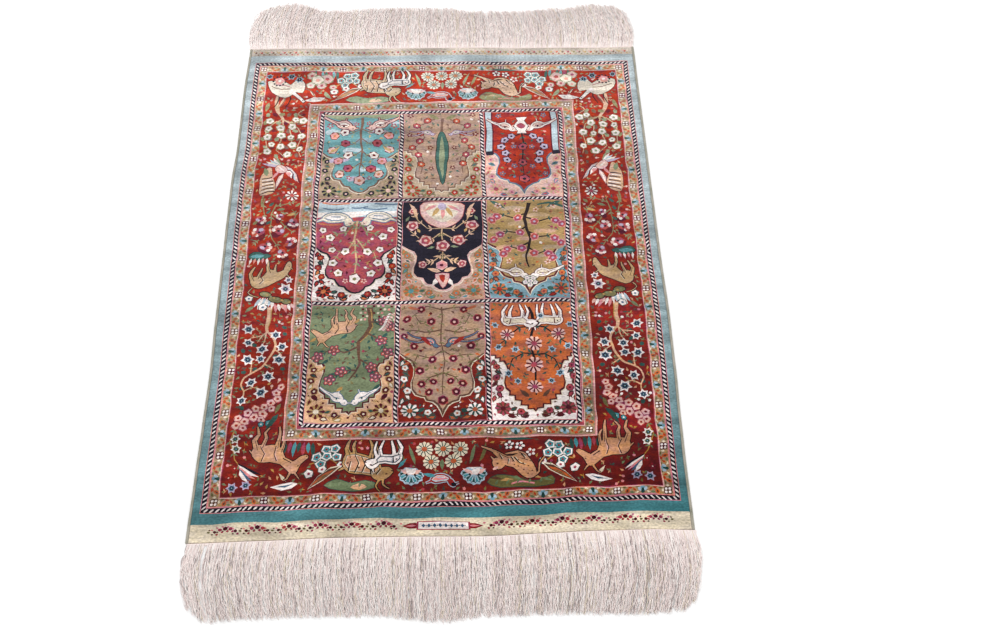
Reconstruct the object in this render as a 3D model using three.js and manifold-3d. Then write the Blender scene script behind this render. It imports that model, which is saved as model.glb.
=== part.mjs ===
// A small knotted silk rug with a flat-woven band, a locking strip and a warp fringe at each end,
// and an overcast binding along both long sides. It lies flat, pile up.
// Millimetres, +Z up, +Y towards the far end. The origin is on the floor under the middle of the whole rug.
import * as THREE from 'three';
import { mergeVertices } from 'three/addons/utils/BufferGeometryUtils.js';
import Module from 'manifold-3d';

const wasm = await Module();
wasm.setup();

// The woven cloth, between its bindings and without its fringes
const CLOTH_WIDTH = 536;
const CLOTH_LENGTH = 759;
const PILE_THICKNESS = 3.0;
const KILIM_THICKNESS = 1.6;
const NEAR_KILIM = 20.5;
const FAR_KILIM = 16.0;
const PILE_SHOULDER = 1.6;
const EDGE_ROUNDING = { width: 1.8, drop: 0.7 };
const PIECE_GAP = 0.3;

// The cloth's mesh: cells across, and cells along between the two kilim bands
const CELLS_ACROSS = 28;
const CELLS_ALONG = 36;

// How far each long edge stands out past a straight line
const SIDE_EDGE = [
  { y: -380, left: 1.4, right: -1.3 },
  { y: -300, left: 0.2, right: -1.5 },
  { y: -240, left: -0.8, right: -0.7 },
  { y: -170, left: -1.8, right: 0.9 },
  { y: -90, left: -0.4, right: 1.7 },
  { y: 0, left: 0.4, right: 0.4 },
  { y: 70, left: 1.2, right: 0.3 },
  { y: 135, left: 1.7, right: 0.1 },
  { y: 190, left: -0.3, right: 0.2 },
  { y: 300, left: 0.4, right: 0.0 },
  { y: 380, left: -1.2, right: 0.4 },
];

// How far each end stands out past a straight line. The waves die away towards the middle of the rug.
const END_EDGE = [
  { x: -270, near: 3.0, far: 2.2 },
  { x: -200, near: 1.5, far: 2.5 },
  { x: -110, near: -0.6, far: 0.4 },
  { x: -50, near: -0.2, far: 0.8 },
  { x: 50, near: 1.2, far: 0.2 },
  { x: 110, near: -0.8, far: -1.6 },
  { x: 160, near: -2.5, far: -1.8 },
  { x: 225, near: -3.0, far: -2.8 },
  { x: 270, near: -1.0, far: -1.4 },
];
const END_WAVE_STARTS = 240;
const END_WAVE_FULL = 345;

// Low swells in the pile's upper face: height, and the length of a swell across and along
const SWELL = { height: 0.3, across: 210, along: 150 };

// The binding's section: distance out from the cloth, and height as a share of the binding's own
const BINDING_SECTION = [
  { out: 0.0, height: 0.0 },
  { out: 3.2, height: 0.0 },
  { out: 3.2, height: 0.42 },
  { out: 2.5, height: 0.86 },
  { out: 1.4, height: 1.0 },
  { out: 0.0, height: 0.86 },
];
const BINDING_HEIGHT = { pile: 3.0, kilim: 2.3 };

// The locking strip between the kilim and the loose strands
const STRIP = { depth: 3.0, height: 1.4, halfWidth: 271.3 };

// The fringe's strands: they taper, lean and wave, and lie level on the floor
const STRANDS = 140;
const STRAND = { rootWidth: 2.1, tipWidth: 1.2, rootHeight: 1.2, tipHeight: 0.7, segments: 5 };
const STRAND_WAVE = { width: 1.2, length: 46, turnAcross: 30, scatter: 0.25 };
const FAN = { bulge: 4.2, bulgeAt: 0.4, tipsDrawnIn: 0.026 };
const REACH_SCATTER = 3.2;

// How far the strands reach past the cloth, with the longer locks that show
const STRAND_REACH = [
  { x: -271, near: 74, far: 80 },
  { x: -252, near: 90, far: 91 },
  { x: -222, near: 88, far: 97 },
  { x: -170, near: 88, far: 81 },
  { x: -70, near: 90, far: 87 },
  { x: 0, near: 97, far: 86 },
  { x: 45, near: 91, far: 78 },
  { x: 110, near: 92, far: 79 },
  { x: 175, near: 95, far: 84 },
  { x: 225, near: 96, far: 93 },
  { x: 252, near: 93, far: 90 },
  { x: 271, near: 82, far: 80 },
];

const COLOURS = {
  cloth: 0x9c4a38,
  binding: 0xd9cdb4,
  fringe: 0xe6dad6,
};

// A value read from a table's column, easing smoothly from one row to the next
function readTable(table, place, column, at) {
  const last = table.length - 1;
  if (at <= table[0][place]) return table[0][column];
  if (at >= table[last][place]) return table[last][column];
  const next = table.findIndex((row) => row[place] > at);
  const [a, b] = [table[next - 1], table[next]];
  const share = THREE.MathUtils.smoothstep(at, a[place], b[place]);
  return THREE.MathUtils.lerp(a[column], b[column], share);
}

// A repeatable scatter between -1 and 1
function scatter(index, salt) {
  const value = Math.sin(index * 12.9898 + salt * 78.233) * 43758.5453;
  return 2 * (value - Math.floor(value)) - 1;
}

// How far a point near one end moves towards or away from the middle with the cloth's waves
function endShift(x, y) {
  const column = y < 0 ? 'near' : 'far';
  const share = THREE.MathUtils.smoothstep(Math.abs(y), END_WAVE_STARTS, END_WAVE_FULL);
  return Math.sign(y) * share * readTable(END_EDGE, 'x', column, x);
}

// The cloth's edge on one side, at a place along the rug: side is -1 for the left and 1 for the right
function sideEdge(side, y) {
  const column = side < 0 ? 'left' : 'right';
  return CLOTH_WIDTH / 2 + readTable(SIDE_EDGE, 'y', column, y);
}

// Evenly spaced numbers from one value to another, both ends included
function spaced(from, to, cells) {
  return Array.from({ length: cells + 1 }, (_, i) => THREE.MathUtils.lerp(from, to, i / cells));
}

// The places along the rug where its section is set: the kilim bands, the pile's shoulders and the pile
function rowPlaces() {
  const end = CLOTH_LENGTH / 2;
  const pileFrom = -end + NEAR_KILIM;
  const pileTo = end - FAR_KILIM;
  return [
    -end,
    pileFrom - PILE_SHOULDER,
    ...spaced(pileFrom, pileTo, CELLS_ALONG),
    pileTo + PILE_SHOULDER,
    end,
  ];
}

// The share of the pile's height at a place along the rug: 1 on the pile, 0 on the kilim bands
function pileShare(y) {
  const end = CLOTH_LENGTH / 2;
  const nearShare = THREE.MathUtils.clamp((y + end - NEAR_KILIM + PILE_SHOULDER) / PILE_SHOULDER, 0, 1);
  const farShare = THREE.MathUtils.clamp((end - FAR_KILIM + PILE_SHOULDER - y) / PILE_SHOULDER, 0, 1);
  return Math.min(nearShare, farShare);
}

// A mesh's geometry from points and triangles
function geometryOf(points, triangles) {
  const geometry = new THREE.BufferGeometry();
  geometry.setAttribute('position', new THREE.Float32BufferAttribute(points.flat(), 3));
  geometry.setIndex(triangles.flat());
  geometry.computeVertexNormals();
  return geometry;
}

// The two triangles of a four-sided face whose corners run anticlockwise seen from outside
function quad(a, b, c, d) {
  return [[a, b, c], [a, c, d]];
}

// The cloth: an uneven upper face, walls round its rim, and a flat underside
function clothGeometry() {
  const rows = rowPlaces();
  const inner = CLOTH_WIDTH / 2 - EDGE_ROUNDING.width;
  const columns = [-CLOTH_WIDTH / 2, ...spaced(-inner, inner, CELLS_ACROSS - 2), CLOTH_WIDTH / 2];
  const perRow = columns.length;
  const points = [];
  for (const row of rows) {
    for (const column of columns) {
      const side = Math.sign(column);
      const x = (column / (CLOTH_WIDTH / 2)) * sideEdge(side, row);
      const swell = SWELL.height * Math.sin(x / SWELL.across * Math.PI) * Math.cos(row / SWELL.along * Math.PI);
      const edgeDrop = Math.abs(column) > inner ? EDGE_ROUNDING.drop : 0;
      const pile = PILE_THICKNESS - KILIM_THICKNESS + swell - edgeDrop;
      points.push([x, row + endShift(x, row), KILIM_THICKNESS + pileShare(row) * pile]);
    }
  }
  const top = (r, c) => r * perRow + c;
  const triangles = [];
  for (let r = 0; r < rows.length - 1; r++) {
    for (let c = 0; c < perRow - 1; c++) {
      triangles.push(...quad(top(r, c), top(r, c + 1), top(r + 1, c + 1), top(r + 1, c)));
    }
  }

  // The rim runs anticlockwise from above: near end, right side, far end, left side
  const lastRow = rows.length - 1;
  const lastColumn = perRow - 1;
  const rim = [];
  for (let c = 0; c < lastColumn; c++) rim.push(top(0, c));
  for (let r = 0; r < lastRow; r++) rim.push(top(r, lastColumn));
  for (let c = lastColumn; c > 0; c--) rim.push(top(lastRow, c));
  for (let r = lastRow; r > 0; r--) rim.push(top(r, 0));
  const floorOf = new Map();
  for (const index of rim) {
    const [x, y] = points[index];
    floorOf.set(index, points.length);
    points.push([x, y, 0]);
  }
  rim.forEach((index, i) => {
    const next = rim[(i + 1) % rim.length];
    triangles.push(...quad(floorOf.get(index), floorOf.get(next), next, index));
  });

  // The underside: one band across the rug for each row, and a fan at each end
  const under = (r, c) => floorOf.get(top(r, c));
  for (let r = 1; r < lastRow - 1; r++) {
    triangles.push(...quad(under(r, 0), under(r + 1, 0), under(r + 1, lastColumn), under(r, lastColumn)));
  }
  const middle = Math.floor(lastColumn / 2);
  for (let c = 0; c < lastColumn; c++) {
    const nearApex = under(1, c < middle ? 0 : lastColumn);
    const farApex = under(lastRow - 1, c < middle ? 0 : lastColumn);
    triangles.push([under(0, c + 1), under(0, c), nearApex]);
    triangles.push([under(lastRow, c), under(lastRow, c + 1), farApex]);
  }
  triangles.push([under(0, middle), under(1, 0), under(1, lastColumn)]);
  triangles.push([under(lastRow, middle), under(lastRow - 1, lastColumn), under(lastRow - 1, 0)]);
  return geometryOf(points, triangles);
}

// A closed body through rings of points, each ring anticlockwise seen from the start, with flat ends
function lofted(rings) {
  const sides = rings[0].length;
  const points = rings.flat();
  const triangles = [];
  for (let k = 0; k < rings.length - 1; k++) {
    for (let s = 0; s < sides; s++) {
      const t = (s + 1) % sides;
      triangles.push(...quad(k * sides + s, (k + 1) * sides + s, (k + 1) * sides + t, k * sides + t));
    }
  }
  const lastRing = (rings.length - 1) * sides;
  for (let s = 1; s < sides - 1; s++) {
    triangles.push([0, s, s + 1]);
    triangles.push([lastRing, lastRing + s + 1, lastRing + s]);
  }
  return geometryOf(points, triangles);
}

// A binding: a low rounded bead that follows one long edge of the cloth
function bindingGeometry(side) {
  const rings = rowPlaces().map((row) => {
    const edge = sideEdge(side, row) + PIECE_GAP;
    const y = row + endShift(side * edge, row);
    const height = THREE.MathUtils.lerp(BINDING_HEIGHT.kilim, BINDING_HEIGHT.pile, pileShare(row));
    return BINDING_SECTION.map((p) => [side * (edge + p.out), y, p.height * height]);
  });
  if (side < 0) rings.forEach((ring) => ring.reverse());
  return lofted(rings);
}

// One end's locking strip, just past the cloth's edge: end is -1 for the near one and 1 for the far one
function stripGeometry(end) {
  const places = spaced(-STRIP.halfWidth, STRIP.halfWidth, CELLS_ACROSS);
  const rings = places.map((x) => {
    const from = end * (CLOTH_LENGTH / 2 + PIECE_GAP) + endShift(x, end * CLOTH_LENGTH / 2);
    const to = from + end * STRIP.depth;
    const [low, high] = end < 0 ? [to, from] : [from, to];
    return [[x, low, 0], [x, low, STRIP.height], [x, high, STRIP.height], [x, high, 0]];
  });
  return lofted(rings);
}

// Where a strand's middle lies, from 0 at its root to 1 at its tip
function strandPoint(end, index, share) {
  const root = THREE.MathUtils.lerp(-1, 1, index / (STRANDS - 1)) * (STRIP.halfWidth - STRAND.rootWidth);
  const column = end < 0 ? 'near' : 'far';
  const reach = readTable(STRAND_REACH, 'x', column, root) + REACH_SCATTER * scatter(index, end);
  const from = CLOTH_LENGTH / 2 + STRIP.depth / 2;
  const length = reach - STRIP.depth / 2;
  const bulge = FAN.bulge * Math.sin(Math.PI * Math.min(share / (2 * FAN.bulgeAt), 1));
  const lean = (root / STRIP.halfWidth) * (bulge - FAN.tipsDrawnIn * STRIP.halfWidth * share * share);
  const phase = root / STRAND_WAVE.turnAcross + STRAND_WAVE.scatter * scatter(index, end + 5);
  const wave = STRAND_WAVE.width * share * Math.sin((share * length / STRAND_WAVE.length) * 2 * Math.PI + phase);
  return { x: root + lean + wave, y: end * (from + share * length) + endShift(root, end * CLOTH_LENGTH / 2) };
}

// A strand: three-sided, with one flat side down
function strandGeometry(end, index) {
  const rings = [];
  for (let k = 0; k <= STRAND.segments; k++) {
    const share = k / STRAND.segments;
    const { x, y } = strandPoint(end, index, share);
    const half = THREE.MathUtils.lerp(STRAND.rootWidth, STRAND.tipWidth, share) / 2;
    const height = THREE.MathUtils.lerp(STRAND.rootHeight, STRAND.tipHeight, share);
    const ring = [[x - half, y, 0], [x + half, y, 0], [x, y, height]];
    rings.push(end < 0 ? ring.reverse() : ring);
  }
  return lofted(rings);
}

// A solid for joining, from a closed geometry
function solidOf(geometry) {
  const bare = geometry.clone();
  bare.deleteAttribute('normal');
  const merged = mergeVertices(bare);
  return new wasm.Manifold(new wasm.Mesh({
    numProp: 3,
    vertProperties: new Float32Array(merged.attributes.position.array),
    triVerts: new Uint32Array(merged.index.array),
  }));
}

// A fringe: the locking strip and its strands in one body, fused only at the strands' roots
function fringeGeometry(end) {
  const solids = [solidOf(stripGeometry(end))];
  for (let index = 0; index < STRANDS; index++) solids.push(solidOf(strandGeometry(end, index)));
  const { vertProperties, triVerts } = wasm.Manifold.union(solids).getMesh();
  const geometry = new THREE.BufferGeometry();
  geometry.setAttribute('position', new THREE.BufferAttribute(new Float32Array(vertProperties), 3));
  geometry.setIndex(new THREE.BufferAttribute(new Uint32Array(triVerts), 1));
  geometry.computeVertexNormals();
  return geometry;
}

function piece(name, geometry, colour, roughness) {
  const material = new THREE.MeshStandardMaterial({ color: colour, roughness, metalness: 0 });
  const mesh = new THREE.Mesh(geometry, material);
  mesh.name = name;
  return mesh;
}

const rug = new THREE.Group();
rug.add(piece('woven_rug', clothGeometry(), COLOURS.cloth, 0.6));
rug.add(piece('binding_left', bindingGeometry(-1), COLOURS.binding, 0.7));
rug.add(piece('binding_right', bindingGeometry(1), COLOURS.binding, 0.7));
rug.add(piece('fringe_near', fringeGeometry(-1), COLOURS.fringe, 0.8));
rug.add(piece('fringe_far', fringeGeometry(1), COLOURS.fringe, 0.8));

export default rug;
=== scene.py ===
import cmath
import logging
import math
from collections.abc import Callable, Iterable, Sequence
from dataclasses import dataclass, field
from enum import Enum

import bpy
import numpy as np
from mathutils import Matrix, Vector
from mathutils.geometry import delaunay_2d_cdt


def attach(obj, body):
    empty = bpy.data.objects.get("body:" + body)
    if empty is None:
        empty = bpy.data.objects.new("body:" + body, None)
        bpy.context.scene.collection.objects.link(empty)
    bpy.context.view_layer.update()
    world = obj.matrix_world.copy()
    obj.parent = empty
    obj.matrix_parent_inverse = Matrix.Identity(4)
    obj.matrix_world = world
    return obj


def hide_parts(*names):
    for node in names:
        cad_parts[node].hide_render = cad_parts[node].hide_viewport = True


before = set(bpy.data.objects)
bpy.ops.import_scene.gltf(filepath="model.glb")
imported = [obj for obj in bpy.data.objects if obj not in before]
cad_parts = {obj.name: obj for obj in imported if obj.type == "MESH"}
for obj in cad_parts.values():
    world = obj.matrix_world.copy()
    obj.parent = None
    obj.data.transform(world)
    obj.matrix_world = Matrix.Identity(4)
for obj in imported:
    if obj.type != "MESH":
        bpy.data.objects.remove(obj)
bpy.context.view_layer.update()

MM = 0.001
PATTERN_Y = 2.0  # the pattern's middle lies this far past the rug's own, in millimetres
log = logging.getLogger("rug")

Point = tuple[float, float]
Route = Sequence[Point]
Colour = tuple[float, float, float, float]
Spot = tuple[float, float, float]


def linear(code: str) -> Colour:
    """A screen colour, # and six hexadecimal digits, as scene-linear red, green, blue and alpha."""
    channels = [int(code[i:i + 2], 16) / 255 for i in (1, 3, 5)]
    toned = [c / 12.92 if c <= 0.04045 else ((c + 0.055) / 1.055) ** 2.4 for c in channels]
    return toned[0], toned[1], toned[2], 1.0


class Silk(Enum):
    """The dyed silks: each one's colour at the near end and at the far end. The change between the two is
    painted sheen, the pile seen against its lay and along it, mostly paler at the far end.
    """

    KILIM = "#c6b9a2", "#b9aea2"
    TEAL = "#2c666c", "#a3aeb2"
    NAVY = "#0a0a14", "#2e2a38"
    INK = "#0c0808", "#362a2c"
    WHITE = "#cdc2be", "#dfd6d0"
    CREAM = "#beb098", "#d6ccbe"
    BLUSH = "#c0948a", "#d0b2aa"
    PINK = "#b46c70", "#cf9690"
    ROSE = "#822c3a", "#a4545a"
    CRIMSON = "#6a1016", "#a83a28"
    RED = "#4e0d0c", "#a03322"
    WINE = "#380810", "#6c282e"
    SHELL = "#a07a68", "#bc9c8c"
    DUN = "#7c624e", "#b09a86"
    GUARD = "#866c54", "#beaa92"
    TAN = "#a47250", "#ccae94"
    FAWN = "#946c3a", "#c6b092"
    SAND = "#94765e", "#ac9080"
    PEACH = "#ba8c66", "#d4b69e"
    GOLD = "#8e6626", "#bca072"
    OCHRE = "#8c6c42", "#a89064"
    ORANGE = "#9c4418", "#b87c5a"
    RUST = "#88280e", "#b86048"
    BROWN = "#402214", "#826658"
    OLIVE = "#504a24", "#96906c"
    MOSS = "#4c5a3c", "#98a084"
    GREEN = "#5c664c", "#848e70"
    PINE = "#12322e", "#4c6e66"
    TURQUOISE = "#2c6e76", "#729ea2"
    SKY = "#5a7e8c", "#8aa2ac"
    POWDER = "#8a9ca8", "#b4c2c8"
    SLATE = "#30485e", "#70849a"
    LILAC = "#94869a", "#b6aabc"

    def shades(self) -> tuple[Colour, Colour]:
        """The two colours as scene-linear colours, the near one first, the far one with its painted sheen.
        """
        return linear(self.value[0]), linear(self.value[1])


def eased(low: float, high: float, at: float) -> float:
    """How far at has gone from low to high, from 0 to 1, easing in and out."""
    share = min(max((at - low) / (high - low), 0.0), 1.0)
    return share * share * (3 - 2 * share)


def from_table(table: Sequence[Sequence[float]], column: int, at: float) -> float:
    """Reads a column of a short table, easing from row to row.

    Args:
        table: rows whose first number is a place, in rising order.
        column: which number of a row to read.
        at: the place asked for.

    Returns:
        The column's value there.
    """
    if at <= table[0][0]:
        return table[0][column]
    for row, after in zip(table, table[1:]):
        if at < after[0]:
            return row[column] + (after[column] - row[column]) * eased(row[0], after[0], at)
    return table[-1][column]


def rounded(outline: Route, steps: int, closed: bool = True) -> list[Point]:
    """A smooth curve through points.

    Args:
        outline: the points.
        steps: how many pieces each stretch is cut into.
        closed: whether the last point joins the first.

    Returns:
        The curve's points.
    """
    count = len(outline)
    curve: list[Point] = []
    for i in range(count if closed else count - 1):
        numbers = [(i + k) % count if closed else min(max(i + k, 0), count - 1) for k in (-1, 0, 1, 2)]
        near = [outline[number] for number in numbers]
        for t in (step / steps for step in range(steps)):
            pull = (
                -0.5 * t + t * t - 0.5 * t**3,
                1 - 2.5 * t * t + 1.5 * t**3,
                0.5 * t + 2 * t * t - 1.5 * t**3,
                -0.5 * t * t + 0.5 * t**3,
            )
            x, y = (sum(w * p[axis] for w, p in zip(pull, near)) for axis in (0, 1))
            curve.append((x, y))
    return curve if closed else [*curve, (outline[-1][0], outline[-1][1])]


def signed_area(outline: Route) -> float:
    """The area inside an outline, below zero where it runs clockwise."""
    return sum(a[0] * b[1] - b[0] * a[1] for a, b in zip(outline, [*outline[1:], outline[0]])) / 2


def grown(outline: Route, margin: float) -> list[Point]:
    """An outline moved outwards by a margin all round."""
    sense = margin if signed_area(outline) > 0 else -margin
    moved: list[Point] = []
    for before, here, after in zip([outline[-1], *outline[:-1]], outline, [*outline[1:], outline[0]]):
        dx, dy = after[0] - before[0], after[1] - before[1]
        length = math.hypot(dx, dy) or 1
        moved.append((here[0] + sense * dy / length, here[1] - sense * dx / length))
    return moved


@dataclass
class Cartoon:
    """The weaver's full-size drawing: outlines in millimetres, each painted over the ones before it.

    A coarse map remembers which ground is still bare, so that small leaves can be put there. Long sides are
    cut, so that they can follow the cloth's waves.

    Attributes:
        outlines: the outlines, in the order of painting.
        silks: each outline's colour.
        longest: how long a side is before it is cut.
        closest: how near two points lie that become one.
        cell: how wide a cell of the coarse map is.
        taken: which of its cells are painted on.
    """

    outlines: list[list[Point]] = field(default_factory=list)
    silks: list[Silk] = field(default_factory=list)
    longest: float = 22.0
    closest: float = 0.02
    cell: float = 1.5
    taken: np.ndarray = field(default_factory=lambda: np.zeros((380, 520), bool))

    def paint(self, outline: Route, silk: Silk, ground: bool = False) -> None:
        """Paints the inside of an outline.

        Args:
            outline: its corners, either way round.
            silk: the colour.
            ground: whether it is bare ground for what follows.
        """
        turning = list(outline) if signed_area(outline) > 0 else list(outline)[::-1]
        corners: list[Point] = []
        for (ax, ay), (bx, by) in zip(turning, [*turning[1:], turning[0]]):
            pieces = max(1, round(math.hypot(bx - ax, by - ay) / self.longest))
            corners.extend((ax + (bx - ax) * k / pieces, ay + (by - ay) * k / pieces) for k in range(pieces))
        self.outlines.append(corners)
        self.silks.append(silk)
        xs, ys = np.array(corners).T
        left, low = self.slot(xs.min()), self.slot(ys.min(), 1)
        right, high = self.slot(xs.max()) + 1, self.slot(ys.max(), 1) + 1
        gx = (np.arange(left, right)[:, None] + 0.5 - self.taken.shape[0] / 2) * self.cell
        gy = (np.arange(low, high)[None, :] + 0.5 - self.taken.shape[1] / 2) * self.cell
        inside = np.zeros((right - left, high - low), bool)
        for (ax, ay), (bx, by) in zip(corners, [*corners[1:], corners[0]]):
            if ay != by:
                inside ^= ((ay > gy) != (by > gy)) & (gx < (bx - ax) * (gy - ay) / (by - ay) + ax)
        self.taken[left:right, low:high][inside] = not ground

    def slot(self, at: float, axis: int = 0) -> int:
        """The map's cell that holds a place across, or along where axis is 1."""
        count = self.taken.shape[axis]
        return min(max(int(at / self.cell + count / 2), 0), count - 1)

    def bare(self, x: float, y: float, reach: float) -> bool:
        """Whether the ground is bare all round a place."""
        low_x, high_x = self.slot(x - reach), self.slot(x + reach) + 1
        low_y, high_y = self.slot(y - reach, 1), self.slot(y + reach, 1) + 1
        return not self.taken[low_x:high_x, low_y:high_y].any()

    def cut(
        self, extra: Sequence[Vector], smallest: float
    ) -> tuple[list[Vector], list[list[int]], list[Silk]]:
        """Cuts the drawing into triangles of one colour each.

        Args:
            extra: points to cut at as well.
            smallest: the area under which an outline is left out.

        Returns:
            The points, the triangles, and each triangle's silk.
        """
        kept = [(o, s) for o, s in zip(self.outlines, self.silks) if signed_area(o) >= smallest]
        points: list[Vector] = []
        rings: list[list[int]] = []
        for outline, _ in kept:
            rings.append(list(range(len(points), len(points) + len(outline))))
            points.extend(Vector(corner) for corner in outline)
        inside_only = 1
        cells = delaunay_2d_cdt(points + list(extra), [], rings, inside_only, self.closest, True)
        corners = [tuple(zip(*outline)) for outline, _ in kept]
        boxes = [(min(xs), min(ys), max(xs), max(ys)) for xs, ys in corners]
        triangles, silks = [], []
        for triangle, owners in zip(cells[2], cells[5]):
            x, y = (sum(cells[0][i][axis] for i in triangle) / 3 for axis in (0, 1))
            for owner in sorted(owners, reverse=True):
                if boxes[owner][0] <= x <= boxes[owner][2] and boxes[owner][1] <= y <= boxes[owner][3]:
                    triangles.append(triangle)
                    silks.append(kept[owner][1])
                    break
        return cells[0], triangles, silks


@dataclass(frozen=True)
class Pen:
    """Paints in a motif's own axes, in millimetres, wherever they stand on the cartoon."""

    cartoon: Cartoon
    origin: complex = 0j
    spin: complex = 1 + 0j
    mirrored: bool = False

    def place(self, x: float, y: float) -> Point:
        """A point of the motif, as a point of the cartoon."""
        spot = self.origin + self.spin * complex(-x if self.mirrored else x, y)
        return spot.real, spot.imag

    def at(self, x: float, y: float, turn: float = 0.0, size: float = 1.0, mirrored: bool = False) -> "Pen":
        """A pen with axes of its own.

        Args:
            x: where its origin stands, across.
            y: where its origin stands, along.
            turn: how far its axes are turned, in degrees anticlockwise.
            size: its scale.
            mirrored: whether left and right swap.

        Returns:
            The pen.
        """
        own = cmath.rect(size, math.radians(turn))
        spin = self.spin * (own.conjugate() if self.mirrored else own)
        return Pen(self.cartoon, complex(*self.place(x, y)), spin, self.mirrored != mirrored)

    def halves(self) -> "tuple[Pen, Pen]":
        """The pen and its mirror image."""
        return self, self.at(0, 0, mirrored=True)

    def area(self, outline: Route, silk: Silk, ground: bool = False) -> None:
        """Paints an outline with straight sides, as bare ground where that is asked."""
        self.cartoon.paint([self.place(x, y) for x, y in outline], silk, ground)

    def box(self, x0: float, y0: float, x1: float, y1: float, silk: Silk, ground: bool = False) -> None:
        """Paints an upright rectangle between two corners."""
        self.area([(x0, y0), (x1, y0), (x1, y1), (x0, y1)], silk, ground)

    def blob(self, outline: Route, silk: Silk, edge: Silk | None = None, steps: int = 2) -> None:
        """Paints a rounded outline, with a thin edge in another silk where one is given."""
        curve = rounded(outline, steps)
        if edge:
            self.area(grown(curve, 0.8), edge)
        self.area(curve, silk)

    def oval(
        self, x: float, y: float, rx: float, ry: float, silk: Silk, turn: float = 0.0, sides: int = 6
    ) -> None:
        """Paints an ellipse.

        Args:
            x: its middle, across.
            y: its middle, along.
            rx: half its width.
            ry: half its height.
            silk: the colour.
            turn: its turn in degrees.
            sides: how many sides it is drawn with.
        """
        own = self.at(x, y, turn)
        angles = [2 * math.pi * (k + 0.5) / sides for k in range(sides)]
        own.area([(rx * math.cos(a), ry * math.sin(a)) for a in angles], silk)

    def leaf(
        self, x0: float, y0: float, x1: float, y1: float, width: float, silk: Silk, bow: float = 0.0
    ) -> None:
        """Paints a pointed leaf.

        Args:
            x0: the stem, across.
            y0: the stem, along.
            x1: the tip, across.
            y1: the tip, along.
            width: the leaf's width.
            silk: the colour.
            bow: how far its middle swings to the left.
        """
        length = math.hypot(x1 - x0, y1 - y0)
        own = self.at(x0, y0, math.degrees(math.atan2(y1 - y0, x1 - x0)))
        low, high = bow - width / 2, bow + width / 2
        outline = [(0.0, 0.0), (0.4 * length, low), (length, 0.0), (0.4 * length, high)]
        if width > 4:
            outline = [
                (0.0, 0.0), (0.25 * length, low * 0.85), (0.6 * length, low * 0.85), (length, 0.0),
                (0.6 * length, high * 0.85), (0.25 * length, high * 0.85),
            ]
        own.area(outline, silk)

    def leaves(self, *rows: Sequence[float | Silk]) -> None:
        """Paints leaves one after another, each from the values that leaf takes."""
        for row in rows:
            self.leaf(*row)

    def stroke(
        self, route: Route, width: float, silk: Silk, tip: float | None = None, steps: int = 2
    ) -> None:
        """Paints a ribbon along a smooth route.

        Args:
            route: the points it goes through.
            width: its width at the start.
            silk: the colour.
            tip: its width at the end, or None for the same width.
            steps: how many pieces each stretch is cut into.
        """
        line = rounded(route, steps, closed=False)
        last = len(line) - 1
        end = width if tip is None else tip
        sides: list[tuple[Point, Point]] = []
        for i, (x, y) in enumerate(line):
            before, after = line[max(i - 1, 0)], line[min(i + 1, last)]
            dx, dy = after[0] - before[0], after[1] - before[1]
            reach = (width + (end - width) * i / last) / 2 / (math.hypot(dx, dy) or 1)
            sides.append(((x - dy * reach, y + dx * reach), (x + dy * reach, y - dx * reach)))
        for (a, b), (c, d) in zip(sides, sides[1:]):
            self.area([a, b, d, c], silk)

    def ring(self, count: int, distance: float, start: float = 0.0) -> "Iterable[Pen]":
        """Pens set round a circle, each one's x axis pointing outwards, the first one at start degrees."""
        for turn in (start + 360 * k / count for k in range(count)):
            spot = cmath.rect(distance, math.radians(turn))
            yield self.at(spot.real, spot.imag, turn)


Limb = tuple[Route, float, float]


@dataclass(frozen=True)
class Figure:
    """An animal or bird: rounded masses and tapering limbs in a coat, with a dark edge all round.

    Attributes:
        masses: outlines of its masses.
        limbs: for each limb its route, its width at the root and its width at the tip.
        folds: thin lines over the coat.
        spots: for each marking its middle and its radius.
    """

    masses: Sequence[Route]
    limbs: Sequence[Limb] = ()
    folds: Sequence[Route] = ()
    spots: Sequence[Spot] = ()

    def paint(
        self, pen: Pen, coat: Silk, edge: Silk, marking: Silk | None = None, belly: Silk | None = None,
        light: Silk = Silk.CREAM,
    ) -> None:
        """Paints the figure, its whole edge first.

        Args:
            pen: where it stands.
            coat: its colour.
            edge: its outline's colour.
            marking: the colour of its spots, or None to leave them out.
            belly: the colour inside its first mass, or None for the coat's own.
            light: the colour of the thin lights beside its folds, and of the ring inside its first mass
                where a belly is given.
        """
        for silk, extra in ((edge, 1.2), (coat, 0.0)):
            for route, root, tip in self.limbs:
                pen.stroke(route, root + 2 * extra, silk, tip + 2 * extra)
            for outline in self.masses:
                curve = rounded(outline, 2)
                pen.area(grown(curve, extra) if extra else curve, silk)
        for depth, silk in ((-1.8, edge), (-2.5, light), (-3.2, belly)) if belly else ():
            pen.area(grown(rounded(self.masses[0], 1), depth), silk)
        for route in self.folds:
            pen.stroke([(x + 1.2, y + 0.4) for x, y in route], 0.8, light, 0.5, 1)
            pen.stroke(route, 1.5, edge, 1.0, 1)
        for route, root, _ in self.limbs:
            if root > 4:
                pen.stroke([(x + 0.8, y) for x, y in route[:2]], 0.9, edge, 0.6, 1)
        for x, y, radius in self.spots if marking else ():
            pen.oval(x, y, radius, radius * 0.8, marking, sides=5)


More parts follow.
